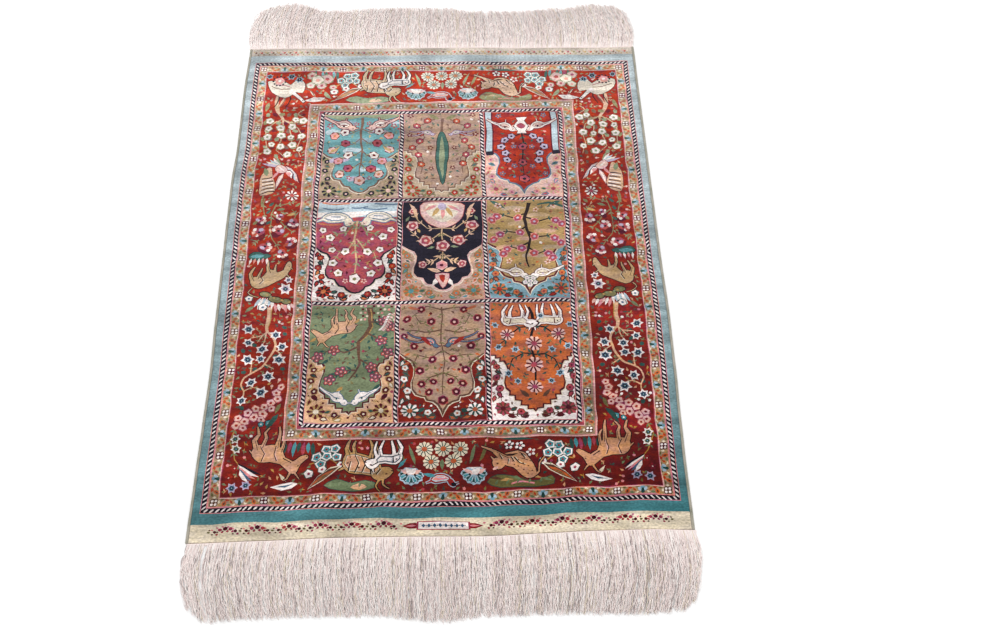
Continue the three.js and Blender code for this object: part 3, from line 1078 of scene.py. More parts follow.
    def crown(self, pen: Pen) -> None:
        """Paints the clumps at the foot of the star-flowered tree, for the right side."""
        for k in range(6):
            pen.leaf(
                203 - 4 * k, -70, 199 - 4 * k, -84 + 3 * (k % 3), 4.4,
                (Silk.PINK, Silk.WHITE, Silk.BLUSH)[k % 3],
            )
        for k in range(6):
            pen.leaf(205 + 3 * k, -62, 206 + 4 * k, -79 + 3 * (k % 2), 4.4, (Silk.WHITE, Silk.POWDER)[k % 2])
        for silk, less in ((Silk.INK, 0.0), (Silk.OLIVE, 1.3)):
            for x, y, rx, ry in ((215, -57, 8.4, 5.2), (202, -64, 10, 5.4), (189, -67, 7, 5)):
                pen.oval(x, y, rx - less, ry - less, silk, 8, 8)
        for k in range(8):
            pen.oval(185 + 4.6 * k, -68 + 1.7 * k, 1.6, 1.4, (Silk.GOLD, Silk.MOSS)[k % 2], sides=5)
        pen.leaf(226, -74, 236, -84, 5, Silk.GREEN)
        plant(pen, Blossom.rounded, ((216, -76, 5), (234, -62, 4.6)), Silk.WHITE, Silk.SLATE, Silk.PINE)
        plant(pen, Blossom.star, ((190, -48, 9.6), (187, -34, 5.6)), Silk.WHITE, Silk.LILAC)

    def meadow(self, pen: Pen) -> None:
        """Paints the side's grazing doe, its pool and the peonies above it, for the right side."""
        GRAZING_DOE.paint(pen.at(212, -2, 180, 0.88), Silk.FAWN, Silk.INK, Silk.BROWN, light=Silk.CREAM)
        pen.blob([(240, 3), (234, 10), (222, 9), (211, 5), (218, 0), (232, -2)], Silk.PINE, Silk.NAVY)
        pen.blob([(238, 3), (231, 7), (220, 5), (226, 1)], Silk.TURQUOISE)
        for k in range(5):
            pen.leaf(216 + 5 * k, 1, 217 + 5 * k, -10 + 2 * (k % 2), 3.4, (Silk.WHITE, Silk.PINK)[k % 2])
        for route in (
            [(226, 98), (226, 80), (223, 65), (224, 48)],
            [(210, 88), (215, 72), (216, 58), (216, 42), (212, 32), (206, 22), (201, 12)],
            [(214, 72), (205, 62), (198, 52), (191, 44), (186, 40)], [(218, 38), (230, 28), (236, 20)],
            [(211, 84), (196, 90), (185, 92)], [(188, 58), (184, 70), (190, 80)],
        ):
            Blossom.spray(pen, route, Silk.OLIVE, Silk.MOSS, 3, 6, 1.8)
        for k, (x, y, radius) in enumerate((
            (229, 62, 6.6), (187, 58, 7.4), (229, 43, 7.6), (205, 46, 7.6), (189, 25, 7), (219, 19, 7.6),
            (198, 7, 7), (204, 68, 5),
        )):
            pen.at(x - 2 + 4 * (k % 2), y - 5, 40 * k).oval(
                0, 0, radius + 1.5, radius - 1, Silk.WINE, sides=7
            )
            Blossom.peony(pen.at(x, y, 200 + 70 * k), radius)
        pen.leaf(198, 81, 209, 78, 4.6, Silk.GREEN)
        pen.leaf(185, 73, 196, 70, 4.6, Silk.GOLD)
        Blossom.daisy(pen.at(192, 103), 8.6, Silk.WHITE, Silk.WINE, Silk.ROSE, 8)
        for k, (x, y) in enumerate((
            (236, 34), (222, 54), (198, 34), (236, 84), (219, 84), (186, 84), (197, 18), (222, 72),
            (238, 54), (212, 10),
        )):
            pen.leaf(x, y, x - 6, y + 7, 4.4, (Silk.RUST, Silk.PINE, Silk.OLIVE)[k % 3])

    def orchard(self, pen: Pen) -> None:
        """Paints the fan-tailed bird and the round-flowered tree, for the right side."""
        pen.stroke([(228, 106), (229, 95), (227, 84)], 2.4, Silk.OLIVE)
        for k, silk in enumerate((Silk.MOSS, Silk.WHITE, Silk.POWDER, Silk.CREAM, Silk.LILAC)):
            pen.leaf(211, 153, 218 + 4.2 * k, 173 - 3.2 * k, 5, silk)
        for k, silk in enumerate((Silk.WINE, Silk.BLUSH, Silk.POWDER, Silk.WINE, Silk.WHITE, Silk.PINK)):
            pen.leaf(205 - 0.6 * k, 157 - 2.8 * k, 180.5 + 3.2 * k, 122 + 2.6 * k, 6, silk, -2)
        pen.blob(
            [(221, 151), (227, 151), (233, 138), (235, 120), (232, 104), (218, 106), (214, 118), (217, 132)],
            Silk.TAN, Silk.WINE,
        )
        for k in range(9):
            pen.stroke(
                [(215.5 + 0.3 * k, 110 + 3.1 * k), (224, 109 + 3.1 * k), (232, 106 + 3.3 * k)], 1.9,
                (Silk.NAVY, Silk.WHITE)[k % 2], 1.3, 1,
            )
        pen.leaf(225, 138, 230, 153, 7, Silk.GREEN)
        pen.blob(
            [(213, 157), (206, 154), (200, 147), (205, 142), (212, 143), (217, 150)], Silk.BLUSH, Silk.WINE
        )
        pen.leaves(
            (204, 143, 214, 112, 8.4, Silk.WINE, 1),
            (204.5, 141, 213.6, 114, 6.2, Silk.BLUSH, 1),
            (206, 138, 212.6, 118, 2.4, Silk.WHITE, 0.6),
            (209, 146, 221, 129, 4, Silk.PINK),
            (204, 146, 214, 154, 3, Silk.WHITE),
        )
        for route, width in (
            ([(224, 283), (224, 262), (217, 246), (211, 234)], 5.6),
            ([(214, 280), (221, 262), (216, 244)], 2.6),
        ):
            pen.stroke(route, width, Silk.TAN, width * 0.6)
        for k in range(34):
            x, y = 187 + 9.4 * (k % 6) + 4 * (k // 6 % 2), 248 - 15 * (k // 6)
            pen.oval(x, y, 4.6, 3.2, (Silk.WINE, Silk.MOSS, Silk.BROWN, Silk.OLIVE)[k * 5 % 4], 57 * k, 5)
        for route in (
            [(212, 238), (200, 233), (188, 238)], [(214, 240), (226, 233), (235, 236)],
            [(210, 236), (193, 224), (187, 206), (191, 190), (186, 170)],
            [(214, 238), (213, 220), (214, 200), (219, 184), (207, 170)],
            [(222, 236), (236, 220), (233, 200), (233, 180)], [(206, 228), (202, 212), (199, 196)],
            [(187, 258), (194, 250), (186, 244)],
        ):
            Blossom.spray(pen, route, Silk.FAWN, Silk.BROWN, 3, 5, 1.7)
        plant(pen, Blossom.rounded, (
            (232, 236, 6), (217, 224, 6), (201, 226, 6), (186, 237, 6), (232, 207, 5.8), (214, 210, 6),
            (188, 208, 5.8), (198, 193, 5.8), (213, 190, 5.6), (231, 181, 5.8), (204, 175, 5.8),
            (232, 222, 4.6), (226, 194, 4.6), (196, 240, 4.6), (188, 184, 4.6), (202, 207, 4.4),
        ), Silk.WHITE, Silk.MOSS, Silk.OLIVE)

    def corner_far(self, pen: Pen) -> None:
        """Paints a far corner's pale bird under blue flowers, for the right side."""
        for k, x in enumerate((209, 216, 224)):
            pen.stroke([(x, 292), (x - 2, 276), (x + 3, 262)], 2.2, Silk.BROWN if k % 2 else Silk.INK, 1.2)
        pen.stroke([(208, 293), (199, 284), (187, 271)], 8.4, Silk.INK, 5.4)
        pen.blob([
            (239, 311), (236, 297), (228, 286), (214, 280), (205, 284), (199, 290), (190, 289), (187, 299),
            (191, 310), (201, 311), (207, 304), (216, 311), (229, 313),
        ], Silk.CREAM, Silk.INK)
        pen.stroke([(208, 293), (199, 284), (188, 272)], 6.4, Silk.WHITE, 3.6)
        pen.stroke([(234, 303), (220, 296), (208, 296)], 1.3, Silk.BROWN)
        pen.stroke([(228, 306), (216, 303), (208, 300)], 1.2, Silk.ROSE)
        pen.oval(190, 275, 1.2, 1.2, Silk.NAVY, sides=4)
        for spoke in pen.at(223, 312).ring(11, 8.6):
            spoke.oval(0, 0, 1.7, 1.7, Silk.NAVY, sides=5)
        Blossom.rounded(pen.at(223, 312), 7.4, Silk.PINK, Silk.WHITE)
        plant(pen, Blossom.star, ((208, 320, 6.6), (196, 313, 6.6), (237, 321, 5.4)), Silk.SKY, Silk.NAVY)
        plant(
            pen, Blossom.rounded, ((159, 316, 9.6), (180, 321, 7), (165, 303, 6.4), (150, 300, 5)),
            Silk.BLUSH, Silk.ROSE, Silk.GREEN,
        )
        plant(pen, Blossom.rounded, ((172, 313, 9), (180, 303, 6)), Silk.CREAM, Silk.PINK, Silk.GREEN)
        pen.oval(173, 277, 5, 4.6, Silk.WHITE, sides=8)
        pen.stroke([(173, 282), (178, 292), (186, 296)], 1.8, Silk.BROWN)
        pen.leaf(160, 292, 150, 276, 6, Silk.MOSS, 1)
        pen.leaf(234, 272, 238, 254, 6, Silk.OLIVE)

    def paint(self, pen: Pen, outer: Quad) -> None:
        """Paints the red ground and everything on it.

        Args:
            pen: the pattern's pen.
            outer: the border's outer frame.
        """
        pen.area(outer.corners(), Silk.RED, ground=True)
        for half in pen.halves():
            for low, high in self.worn:
                half.area([
                    (184, low + 5), (198, low), (214, low + 6), (240, low + 1), (240, high - 3), (220, high),
                    (204, high - 6), (184, high),
                ], Silk.CRIMSON, ground=True)
        for row in (pen, pen.at(0, self.far_row)):
            self.end_row(row)
        for half in pen.halves():
            self.corner_near(half)
            self.blossom_tree(half)
            self.meadow(half)
            self.orchard(half)
            self.corner_far(half)
        tones = (Silk.OLIVE, Silk.MOSS, Silk.GOLD, Silk.PINE, Silk.BROWN, Silk.GREEN, Silk.TAN)
        inner = INNER_ROPE.inset(-INNER_GUARD - 2)
        (left, near), (right, far) = inner.near_left, inner.far_right
        (low_x, low_y), (high_x, high_y) = outer.near_left, outer.far_right
        sparse = Thicket(tones, spacing=8.2, size=4.8, room=2.2)
        dense = Thicket(
            tones, (Silk.PINK, Silk.WHITE, Silk.BLUSH, Silk.ROSE), spacing=6.0, size=4.8, room=2.2
        )
        sparse.fill(pen, low_x, low_y, high_x, near, seed=1)
        dense.fill(pen, low_x, far, high_x, high_y, seed=2)
        dense.fill(pen, low_x, near, left, far, seed=3)
        dense.fill(pen, right, near, high_x, far, seed=4)


class NicheForm(Enum):
    """Half a niche's outline from its springing at the side to its crown: across, and up from the middle."""

    STEPPED = (
        (50, -5), (46, -5), (46, -1), (41, -1), (41, 4), (36, 4), (33, 9), (32, 16), (35, 24), (37, 34),
        (36, 42), (31, 46), (31, 51), (25, 51), (25, 57), (18, 57), (18, 63), (10, 63), (10, 68), (4, 68),
        (0, 72),
    )
    LOBED = (
        (50, -4), (44, 3), (37, 7), (33, 14), (34, 22), (38, 31), (38, 40), (34, 46), (27, 48), (25, 53),
        (21, 58), (14, 60), (12, 64), (7, 68), (0, 70),
    )
    OGEE = (
        (50, -8), (44, -2), (37, 3), (33, 10), (34, 20), (37, 30), (37, 40), (33, 47), (25, 50), (22, 50),
        (20, 55), (13, 57), (7, 62), (3, 69), (0, 76),
    )


@dataclass(frozen=True)
class NichePanel:
    """One panel of the field: a niche on a coloured ground, with a small garden in it.

    Attributes:
        x: the panel's middle, across.
        y: the panel's middle, along.
        half_width: half its width.
        half_height: half its height.
        form: the niche's shape.
        ground: the niche's colour.
        corners: the colour outside the niche.
        edge: the niche's outline.
        vine: the corner vines' colour.
        bloom: the corner flowers' colour.
        heart: the corner flowers' hearts.
        sprigs: the colours of the small leaves in the niche.
        buds: the colours of the buds among them.
    """

    x: float
    y: float
    half_width: float
    half_height: float
    form: NicheForm
    ground: Silk
    corners: Silk
    edge: Silk
    vine: Silk
    bloom: Silk
    heart: Silk
    sprigs: tuple[Silk, ...]
    buds: tuple[Silk, ...]

    def pen(self, pattern: Pen) -> Pen:
        """The panel's own pen: the niche's crown points to the near end."""
        return pattern.at(self.x, self.y, 180)

    def niche(self, pen: Pen, margin: float, silk: Silk, ground: bool = False) -> None:
        """Paints the niche's inside, drawn in by a margin."""
        wide, tall = self.half_width / 50, self.half_height / 80
        half = [(x * wide - (margin if x < 50 else 0), y * tall - margin) for x, y in self.form.value]
        half[-1] = (0.0, half[-1][1] - margin * 0.4)
        reach, foot = self.half_width + 3, -self.half_height - 3
        ends = [(-reach, foot), (reach, foot), (reach, half[0][1])]
        pen.area([*ends, *half, *[(-x, y) for x, y in half[-2::-1]], (-reach, half[0][1])], silk, ground)

    def paint(self, pattern: Pen, garden: Callable[[Pen], None]) -> None:
        """Paints the corners, the niche and its garden, and small leaves on what is still bare."""
        pen = self.pen(pattern)
        wide, tall = self.half_width, self.half_height
        pen.box(-wide - 3, -tall - 3, wide + 3, tall + 3, self.corners, ground=True)
        for half in pen.halves():
            self.corner_ornament(half)
        self.niche(pen, 0.0, Silk.CREAM)
        self.niche(pen, 0.9, self.edge)
        seed = int(self.x + 2 * self.y) % 1000
        corner_leaves = Thicket((self.vine, self.bloom), (self.bloom, self.heart), spacing=6.6, room=1.8)
        corner_leaves.fill(pen, -wide, -8, wide, tall, seed)
        self.niche(pen, 2.7, self.ground, ground=True)
        garden(pen)
        if self.sprigs:
            sprigs = Thicket(self.sprigs, self.buds, spacing=8.2, size=5.2, room=2.6)
            sprigs.fill(pen, -wide, -tall, wide, tall - 8, seed + 1)

    def corner_ornament(self, pen: Pen) -> None:
        """Paints one corner's flowers, curling vine and edged leaves, for the right side."""
        wide, tall = self.half_width, self.half_height
        Blossom.spray(
            pen, [(wide - 6, 2), (wide - 10, 16), (wide - 4, 30), (wide - 10, 46), (wide - 12, tall - 24)],
            self.vine, self.vine, 5, 6.4, 1.7,
        )
        Blossom.spray(
            pen, [(wide - 20, tall - 8), (wide - 32, tall - 6), (10, tall - 5)], self.vine, self.vine, 4, 6,
            1.6,
        )
        for k, (x, y, turn) in enumerate((
            (wide - 2.5, 4, 70), (wide - 8, 19, 150), (wide - 3, 34, 60), (wide - 9, 50, 130),
            (wide - 25, tall - 14, 20), (wide - 23, tall - 4, 170), (wide - 3, tall - 27, 80),
            (13, tall - 7.5, 205), (wide - 38, tall - 4, 20),
        )):
            own = pen.at(x, y, turn)
            own.leaf(-5.4, 0, 5.4, 0, 6.4, self.edge if k % 2 else self.vine, 0.8)
            own.leaf(-3.8, 0.2, 4, 0.2, 3.6, (self.bloom, Silk.PINE, self.heart)[k % 3], 0.6)
        plant(
            pen, Blossom.rounded,
            ((wide - 7, 10, 4.2), (wide - 5, 26, 4.6), (wide - 9, 41, 4.6), (wide - 34, tall - 10, 4.4)),
            self.bloom, self.heart, self.vine,
        )
        Blossom.daisy(pen.at(wide - 13, tall - 14), 10, self.bloom, self.vine, self.heart, 8)


class Gardens:
    """The nine panels' contents. Each paints into its niche, upright with the crown at the top."""

    @staticmethod
    def shrub(pen: Pen, stem: Silk, leaf: Silk, tall: float) -> list[Point]:
        """An even-sided flowering shrub.

        Args:
            pen: the panel's pen.
            stem: the stems' colour.
            leaf: the leaves' colour.
            tall: how high its leader stands above the panel's middle.

        Returns:
            The places for its blossoms, its crown first.
        """
        pen.stroke([(0, -70), (1, -40), (-1, 0), (0, tall)], 4.0, stem, 1.4)
        places = [(0.0, tall)]
        for k, half in enumerate(pen.halves()):
            for route in (
                [(0, -48), (14, -40), (26, -44), (36, -36)], [(0, -30), (12, -20), (26, -22), (38, -10)],
                [(0, -8), (10, 2), (20, 0), (28, 10)], [(0, 14), (9, 24), (18, 24), (26, 34)],
            ):
                line = Blossom.spray(half, route, stem, leaf, 3, 7, 1.8)
                places.extend((-x if k else x, y) for x, y in (line[1], route[-1]))
        return places

    @staticmethod
    def streaks(
        pen: Pen, patch: Route, start: Point, rise: float, skip: int, silks: Sequence[Silk], count: int
    ) -> None:
        """Long soft patches of other shades, spread evenly over a panel's ground.

        Args:
            pen: the panel's pen.
            patch: a patch's outline.
            start: where the leftmost and lowest patches stand.
            rise: how far apart their rows lie.
            skip: how many rows each patch stands above the one before it, out of seven.
            silks: their colours in turn.
            count: how many there are.
        """
        for k in range(count):
            pen.at(start[0] + 8 * k, start[1] + rise * (k * skip % 7)).blob(patch, silks[k % len(silks)])

    @staticmethod
    def turquoise(pen: Pen) -> None:
        """A shrub of pink and white blossom over a mound, with a pair of small birds."""
        patch = [(-13, 0), (-6, 4), (4, 2.4), (12, 5), (14, -1), (5, -5), (-7, -3)]
        Gardens.streaks(pen, patch, (-38, -60), 17, 4, (Silk.POWDER, Silk.SKY, Silk.LILAC), 10)
        pen.blob([(-53, -80), (-30, -66), (0, -72), (30, -66), (53, -80)], Silk.MOSS, Silk.OLIVE)
        for k, (x, y) in enumerate(Gardens.shrub(pen, Silk.BROWN, Silk.MOSS, 44)):
            petal = (Silk.BLUSH, Silk.WHITE, Silk.PINK, Silk.ROSE)[k % 4]
            Blossom.rounded(
                pen.at(x, y, 40 * k), 6.6 if k else 8, petal, Silk.WINE if k % 2 else Silk.ORANGE, Silk.WINE
            )
        for half in pen.halves():
            SONGBIRD.paint(half.at(-24, -60, 0, 1.1), Silk.BLUSH, Silk.WINE, Silk.NAVY, Silk.WHITE)
            half.leaf(30, -16, 42, -4, 5, Silk.GOLD)
            plant(half, Blossom.dotted, ((42, -54, 5), (8, -58, 4), (14, 40, 4)), Silk.ROSE, Silk.CREAM)

    @staticmethod
    def sand(pen: Pen) -> None:
        """A slender cypress between climbing vines, with white birds."""
        pen.blob(
            [(0, 54), (6, 26), (8, -4), (6, -30), (0, -42), (-6, -30), (-8, -4), (-6, 26)], Silk.PINE,
            Silk.INK, 3,
        )
        pen.blob([(0, 44), (3, 20), (4, -6), (0, -34), (-3, -6), (-3, 20)], Silk.MOSS)
        pen.stroke([(0, -42), (0, -66)], 3.6, Silk.BROWN)
        for half in pen.halves():
            places = Blossom.spray(
                half, [(10, -64), (30, -52), (24, -30), (36, -12), (24, 8), (28, 34)], Silk.BROWN, Silk.MOSS,
                7, 7, 2.2,
            )
            for k, (x, y) in enumerate(places):
                Blossom.rounded(half.at(x + 3, y), 5, (Silk.RUST, Silk.ROSE)[k % 2], Silk.CREAM, Silk.WINE)
            LONG_TAILED_BIRD.paint(
                half.at(20, -42, 10, 0.6, True), Silk.LILAC, Silk.WINE, Silk.PINE, Silk.WHITE
            )
            half.leaf(4, -64, 20, -74, 7, Silk.OLIVE)
            plant(
                half, Blossom.dotted, ((14, 24, 4), (44, -36, 4.4), (16, -12, 4), (42, -72, 4.4)), Silk.WINE,
                Silk.PEACH,
            )

    @staticmethod
    def scarlet(pen: Pen) -> None:
        """A flower vase between slim columns."""
        for half in pen.halves():
            half.box(38, -80, 49, 1, Silk.WINE)
            half.box(40, -80, 47.5, -2, Silk.POWDER)
            half.box(39, -5, 48.5, 2, Silk.NAVY)
            places = Blossom.spray(
                half, [(3, -34), (18, -30), (26, -14), (18, 4), (24, 22)], Silk.INK, Silk.MOSS, 5, 7, 2.2
            )
            for x, y in places:
                Blossom.rounded(half.at(x + 2, y + 1), 5.6, Silk.LILAC, Silk.NAVY, Silk.NAVY)
            SONGBIRD.paint(half.at(22, -54, 0, 1.0, True), Silk.WHITE, Silk.WINE, Silk.NAVY, Silk.BLUSH)
            half.stroke([(6, -52), (12, -50), (9, -42), (4, -42)], 1.8, Silk.BLUSH)
            plant(
                half, Blossom.dotted, ((12, 22, 4.4), (12, -12, 4), (28, 36, 4), (30, -70, 4.4)), Silk.SLATE,
                Silk.PEACH,
            )
        pen.blob([
            (-7, -66), (7, -66), (4, -60), (9, -50), (5, -40), (7, -36), (-7, -36), (-5, -40), (-9, -50),
            (-4, -60),
        ], Silk.WHITE, Silk.NAVY)
        pen.blob([(-6, -50), (0, -56), (6, -50), (0, -44)], Silk.ROSE)
        Blossom.spray(pen, [(0, -36), (-1, -10), (1, 20), (0, 44)], Silk.INK, Silk.PINE, 6, 7, 2.4)
        plant(pen, Blossom.rounded, ((0, 44, 7), (0, 16, 6), (0, -12, 6.4)), Silk.ROSE, Silk.NAVY, Silk.NAVY)

    @staticmethod
    def rose(pen: Pen) -> None:
        """A pool with two ducks, below white lilies."""
        pen.box(-53, -82, 53, -54, Silk.POWDER)
        pen.blob(
            [(-53, -58), (-30, -53), (-8, -57), (14, -52), (36, -57), (53, -53), (53, -62), (-53, -64)],
            Silk.WHITE,
        )
        for x0, y0, x1 in ((-50, -76, -22), (10, -78, 46), (-14, -71, 8), (-38, -68, -8), (18, -69, 44)):
            pen.stroke(
                [(x0, y0), ((x0 + x1) / 2, y0 + 2), (x1, y0)], 2.2, Silk.ORANGE if x0 == 10 else Silk.SLATE
            )
        for half in pen.halves():
            DUCK.paint(half.at(26, -57, 0, 1.2, True), Silk.CREAM, Silk.SLATE, Silk.BROWN, Silk.WHITE)
            places = Blossom.spray(
                half, [(2, -46), (12, -30), (28, -26), (40, -14)], Silk.OLIVE, Silk.MOSS, 4, 8, 2.2
            )
            Blossom.rounded(half.at(*places[-1]), 6, Silk.WHITE, Silk.OLIVE, Silk.WINE)
            Blossom.spray(half, [(1, -18), (10, -2), (22, 4), (26, 18)], Silk.FAWN, Silk.OLIVE, 4, 7, 2)
            plant(
                half, Blossom.rounded,
                ((27, 20, 6), (14, 2, 6), (20, 36, 6), (30, -2, 5), (42, -34, 5), (16, -36, 5)), Silk.WHITE,
                Silk.OLIVE, Silk.WINE,
            )
            half.stroke([(20, -44), (34, -42), (48, -45)], 2, Silk.ORANGE)
            plant(half, Blossom.dotted, ((12, 48, 4), (8, -44, 4)), Silk.BLUSH, Silk.WINE)
        Blossom.spray(pen, [(0, -48), (2, -10), (-1, 20), (0, 40)], Silk.FAWN, Silk.MOSS, 5, 8, 2.8)
        Blossom.rounded(pen.at(0, 44), 8, Silk.WHITE, Silk.OLIVE, Silk.WINE)

    @staticmethod
    def midnight(pen: Pen) -> None:
        """A cream palmette with a bouquet of roses, under a small lotus."""
        pen.blob([
            (-24, -76), (24, -76), (27, -60), (20, -46), (9, -38), (0, -34), (-9, -38), (-20, -46),
            (-27, -60),
        ], Silk.BLUSH, Silk.ROSE, 3)
        pen.blob([(-18, -74), (18, -74), (20, -60), (12, -50), (0, -44), (-12, -50), (-20, -60)], Silk.CREAM)
        for turn in (30, 60, 90, 120, 150):
            pen.at(0, -76, turn).leaf(8, 0, 27, 0, 6, Silk.PINK if turn % 60 else Silk.GOLD)
        pen.oval(0, -70, 6, 6, Silk.LILAC, sides=8)
        Blossom.spray(pen, [(0, -34), (0, 0), (0, 30)], Silk.FAWN, Silk.OLIVE, 5, 7, 2)
        for half in pen.halves():
            for route in (
                [(2, -34), (18, -34), (30, -46), (38, -64)], [(2, -26), (16, -14), (30, -18), (42, -32)],
                [(1, 8), (10, 18), (22, 20)],
            ):
                Blossom.spray(half, route, Silk.FAWN, Silk.PEACH, 3, 8, 1.8)
            for x, y, radius in ((37, -62, 5.6), (37, -38, 8.6), (21, -14, 9.2), (24, 24, 6)):
                Blossom.rounded(half.at(x, y, 9 * x), radius, Silk.BLUSH, Silk.ROSE, Silk.WINE)
                Blossom.rounded(half.at(x, y, 9 * x + 30), radius * 0.72, Silk.ROSE, Silk.BLUSH)
            half.leaves(
                (45, -46, 40, -54, 4, Silk.MOSS),
                (28, -26, 31, -34, 4, Silk.GOLD),
                (10, -4, 20, -2, 4, Silk.MOSS),
                (2, 36, 18, 30, 7, Silk.PEACH),
                (3, 44, 13, 58, 7, Silk.WHITE),
                (42, -76, 30, -48, 5, Silk.PEACH, 1.5),
            )
        Blossom.rounded(pen.at(0, -6), 9.6, Silk.BLUSH, Silk.ROSE, Silk.WINE)
        Blossom.rounded(pen.at(0, -6, 30), 7, Silk.ROSE, Silk.BLUSH)
        pen.blob([(-9, 40), (9, 40), (5, 52), (0, 62), (-5, 52)], Silk.BLUSH, Silk.ROSE)
        pen.blob([(-4, 42), (4, 42), (0, 54)], Silk.CRIMSON)
        Blossom.rounded(pen.at(0, 26), 7, Silk.PINK, Silk.WINE, Silk.BLUSH)

    @staticmethod
    def ochre(pen: Pen) -> None:
        """A branching tree of magenta blossom with cream birds in its crown."""
        patch = [(-14, 0), (-6, 3.4), (4, 2), (13, 4), (15, -1), (5, -4), (-7, -3)]
        Gardens.streaks(pen, patch, (-40, -66), 13, 5, (Silk.FAWN, Silk.GUARD, Silk.TAN), 11)
        pen.stroke([(-4, -74), (2, -46), (-3, -14), (2, 12), (0, 30)], 5.0, Silk.INK, 1.8)
        for side, half in enumerate(pen.halves()):
            for route in (
                [(0, -56), (16, -50), (32, -56), (44, -48)], [(0, -34), (14, -24), (30, -28), (42, -16)],
                [(-1, -8), (12, 2), (22, -2), (30, 8)],
            ):
                raised = [(x, y + 7 * side) for x, y in route]
                places = Blossom.spray(half, raised, Silk.INK, Silk.PINE, 3, 7, 2.6)
                for x, y in (places[0], places[2], raised[-1]):
                    Blossom.rounded(half.at(x, y + 2, 9 * x), 5.6, Silk.ROSE, Silk.LILAC, Silk.PINK)
            SONGBIRD.paint(half.at(17, 36, 8, 1.05, True), Silk.WHITE, Silk.BROWN, Silk.LILAC, Silk.CREAM)
            half.leaf(46, -78, 26, -66, 6, Silk.PINE)
            plant(
                half, Blossom.dotted, ((36, -70, 5), (12, -62, 4.4), (24, 22, 4.4)), Silk.BLUSH,
                Silk.CRIMSON,
            )
        Blossom.cluster(pen.at(0, 52), 6, Silk.WHITE, Silk.LILAC)
        pen.stroke([(-48, -68), (-30, -74), (-14, -70)], 4.4, Silk.PINE, 2)

    @staticmethod
    def meadow(pen: Pen) -> None:
        """A doe beside a pink-flowered tree, with white doves above."""
        for k in range(45):
            pen.oval(
                -50 + 5 * (k % 9) + 2.5 * (k // 9 % 2), -80 + 5 * (k // 9), 2.1, 2.1,
                (Silk.CREAM, Silk.WINE, Silk.MOSS, Silk.PINK)[(k + k // 9) % 4], sides=4,
            )
        pen.stroke([(-20, -78), (-22, -50), (-8, -26), (-10, 2), (2, 26)], 7.0, Silk.BROWN, 1.8)
        pen.stroke([(-21, -76), (-24, -50), (-10, -27)], 1.8, Silk.GOLD, 1.0)
        for route in (
            [(-18, -40), (-34, -30), (-42, -12)], [(-10, -22), (8, -12), (26, -18), (40, -8)],
            [(-10, -4), (-24, 8), (-28, 22)], [(-4, 12), (12, 14), (24, 26)],
            [(-22, -56), (-38, -58), (-46, -50)],
        ):
            places = Blossom.spray(pen, route, Silk.BROWN, Silk.PINE, 3, 9, 2.6)
            for x, y in (places[1], route[-1]):
                Blossom.cluster(pen.at(x, y, 7 * x), 4.8, Silk.ROSE, Silk.BLUSH)
        DOE.paint(pen.at(14, -78, 0, 0.74), Silk.TAN, Silk.INK, Silk.INK, light=Silk.BROWN)
        for k in range(9):
            x, y = -46 + 1.4 * k, -70 + 4.4 * k - 0.2 * k * k
            pen.leaf(x, y, x - 3.8, y + 4, 3, Silk.BLUSH)
            pen.leaf(x, y, x + 4.2, y + 3, 3, Silk.WHITE)
        for half in pen.halves():
            SONGBIRD.paint(half.at(-14, 46, 8, 0.9), Silk.WHITE, Silk.SLATE, Silk.PINE)
        for k, (x, y) in enumerate((
            (28, -4), (42, -36), (-42, -42), (30, 6), (-34, 32), (8, 34), (6, -40), (-8, -62)
        )):
            pen.leaf(x, y, x + 8, y + 7, 4.4, (Silk.PINE, Silk.GOLD)[k % 2], 1)

    @staticmethod
    def fawn(pen: Pen) -> None:
        """An even-sided scrolling vine of small dark flowers, with two long-tailed birds."""
        for half in pen.halves():
            for route in (
                [(0, -74), (20, -78), (34, -66), (26, -52), (14, -56)],
                [(2, -44), (20, -40), (38, -44), (44, -28), (34, -20)],
                [(1, -14), (14, -4), (30, -8), (34, 6), (26, 14)],
                [(0, 18), (14, 24), (24, 34), (16, 44)],
            ):
                Blossom.spray(half, route, Silk.BROWN, Silk.OLIVE, 5, 7, 2)
            plant(half, Blossom.rounded, (
                (14, -56, 5.2), (42, -60, 5.2), (34, -20, 5.2), (45, -34, 4.6), (26, 14, 5.2), (16, 44, 5),
                (12, -2, 5), (24, 32, 4.8), (10, 30, 4.4), (26, -74, 5),
            ), Silk.WINE, Silk.BLUSH, Silk.ROSE)
            LONG_TAILED_BIRD.paint(
                half.at(14, -30, -8, 0.72, True), Silk.SLATE, Silk.WINE, Silk.TURQUOISE, Silk.PINK
            )
            half.leaf(26, -34, 12, -20, 6, Silk.CRIMSON, 1)
            half.leaf(42, -78, 28, -74, 5, Silk.ORANGE)
            for k in range(4):
                half.leaf(38, 2 - 6 * k, 46, 6 - 6 * k, 3.4, (Silk.ORANGE, Silk.OLIVE)[k % 2])
        Blossom.spray(pen, [(0, -78), (2, -40), (-2, 0), (0, 48)], Silk.BROWN, Silk.OLIVE, 8, 6, 2)
        Blossom.rounded(pen.at(0, 56), 6.4, Silk.WINE, Silk.BLUSH, Silk.ROSE)

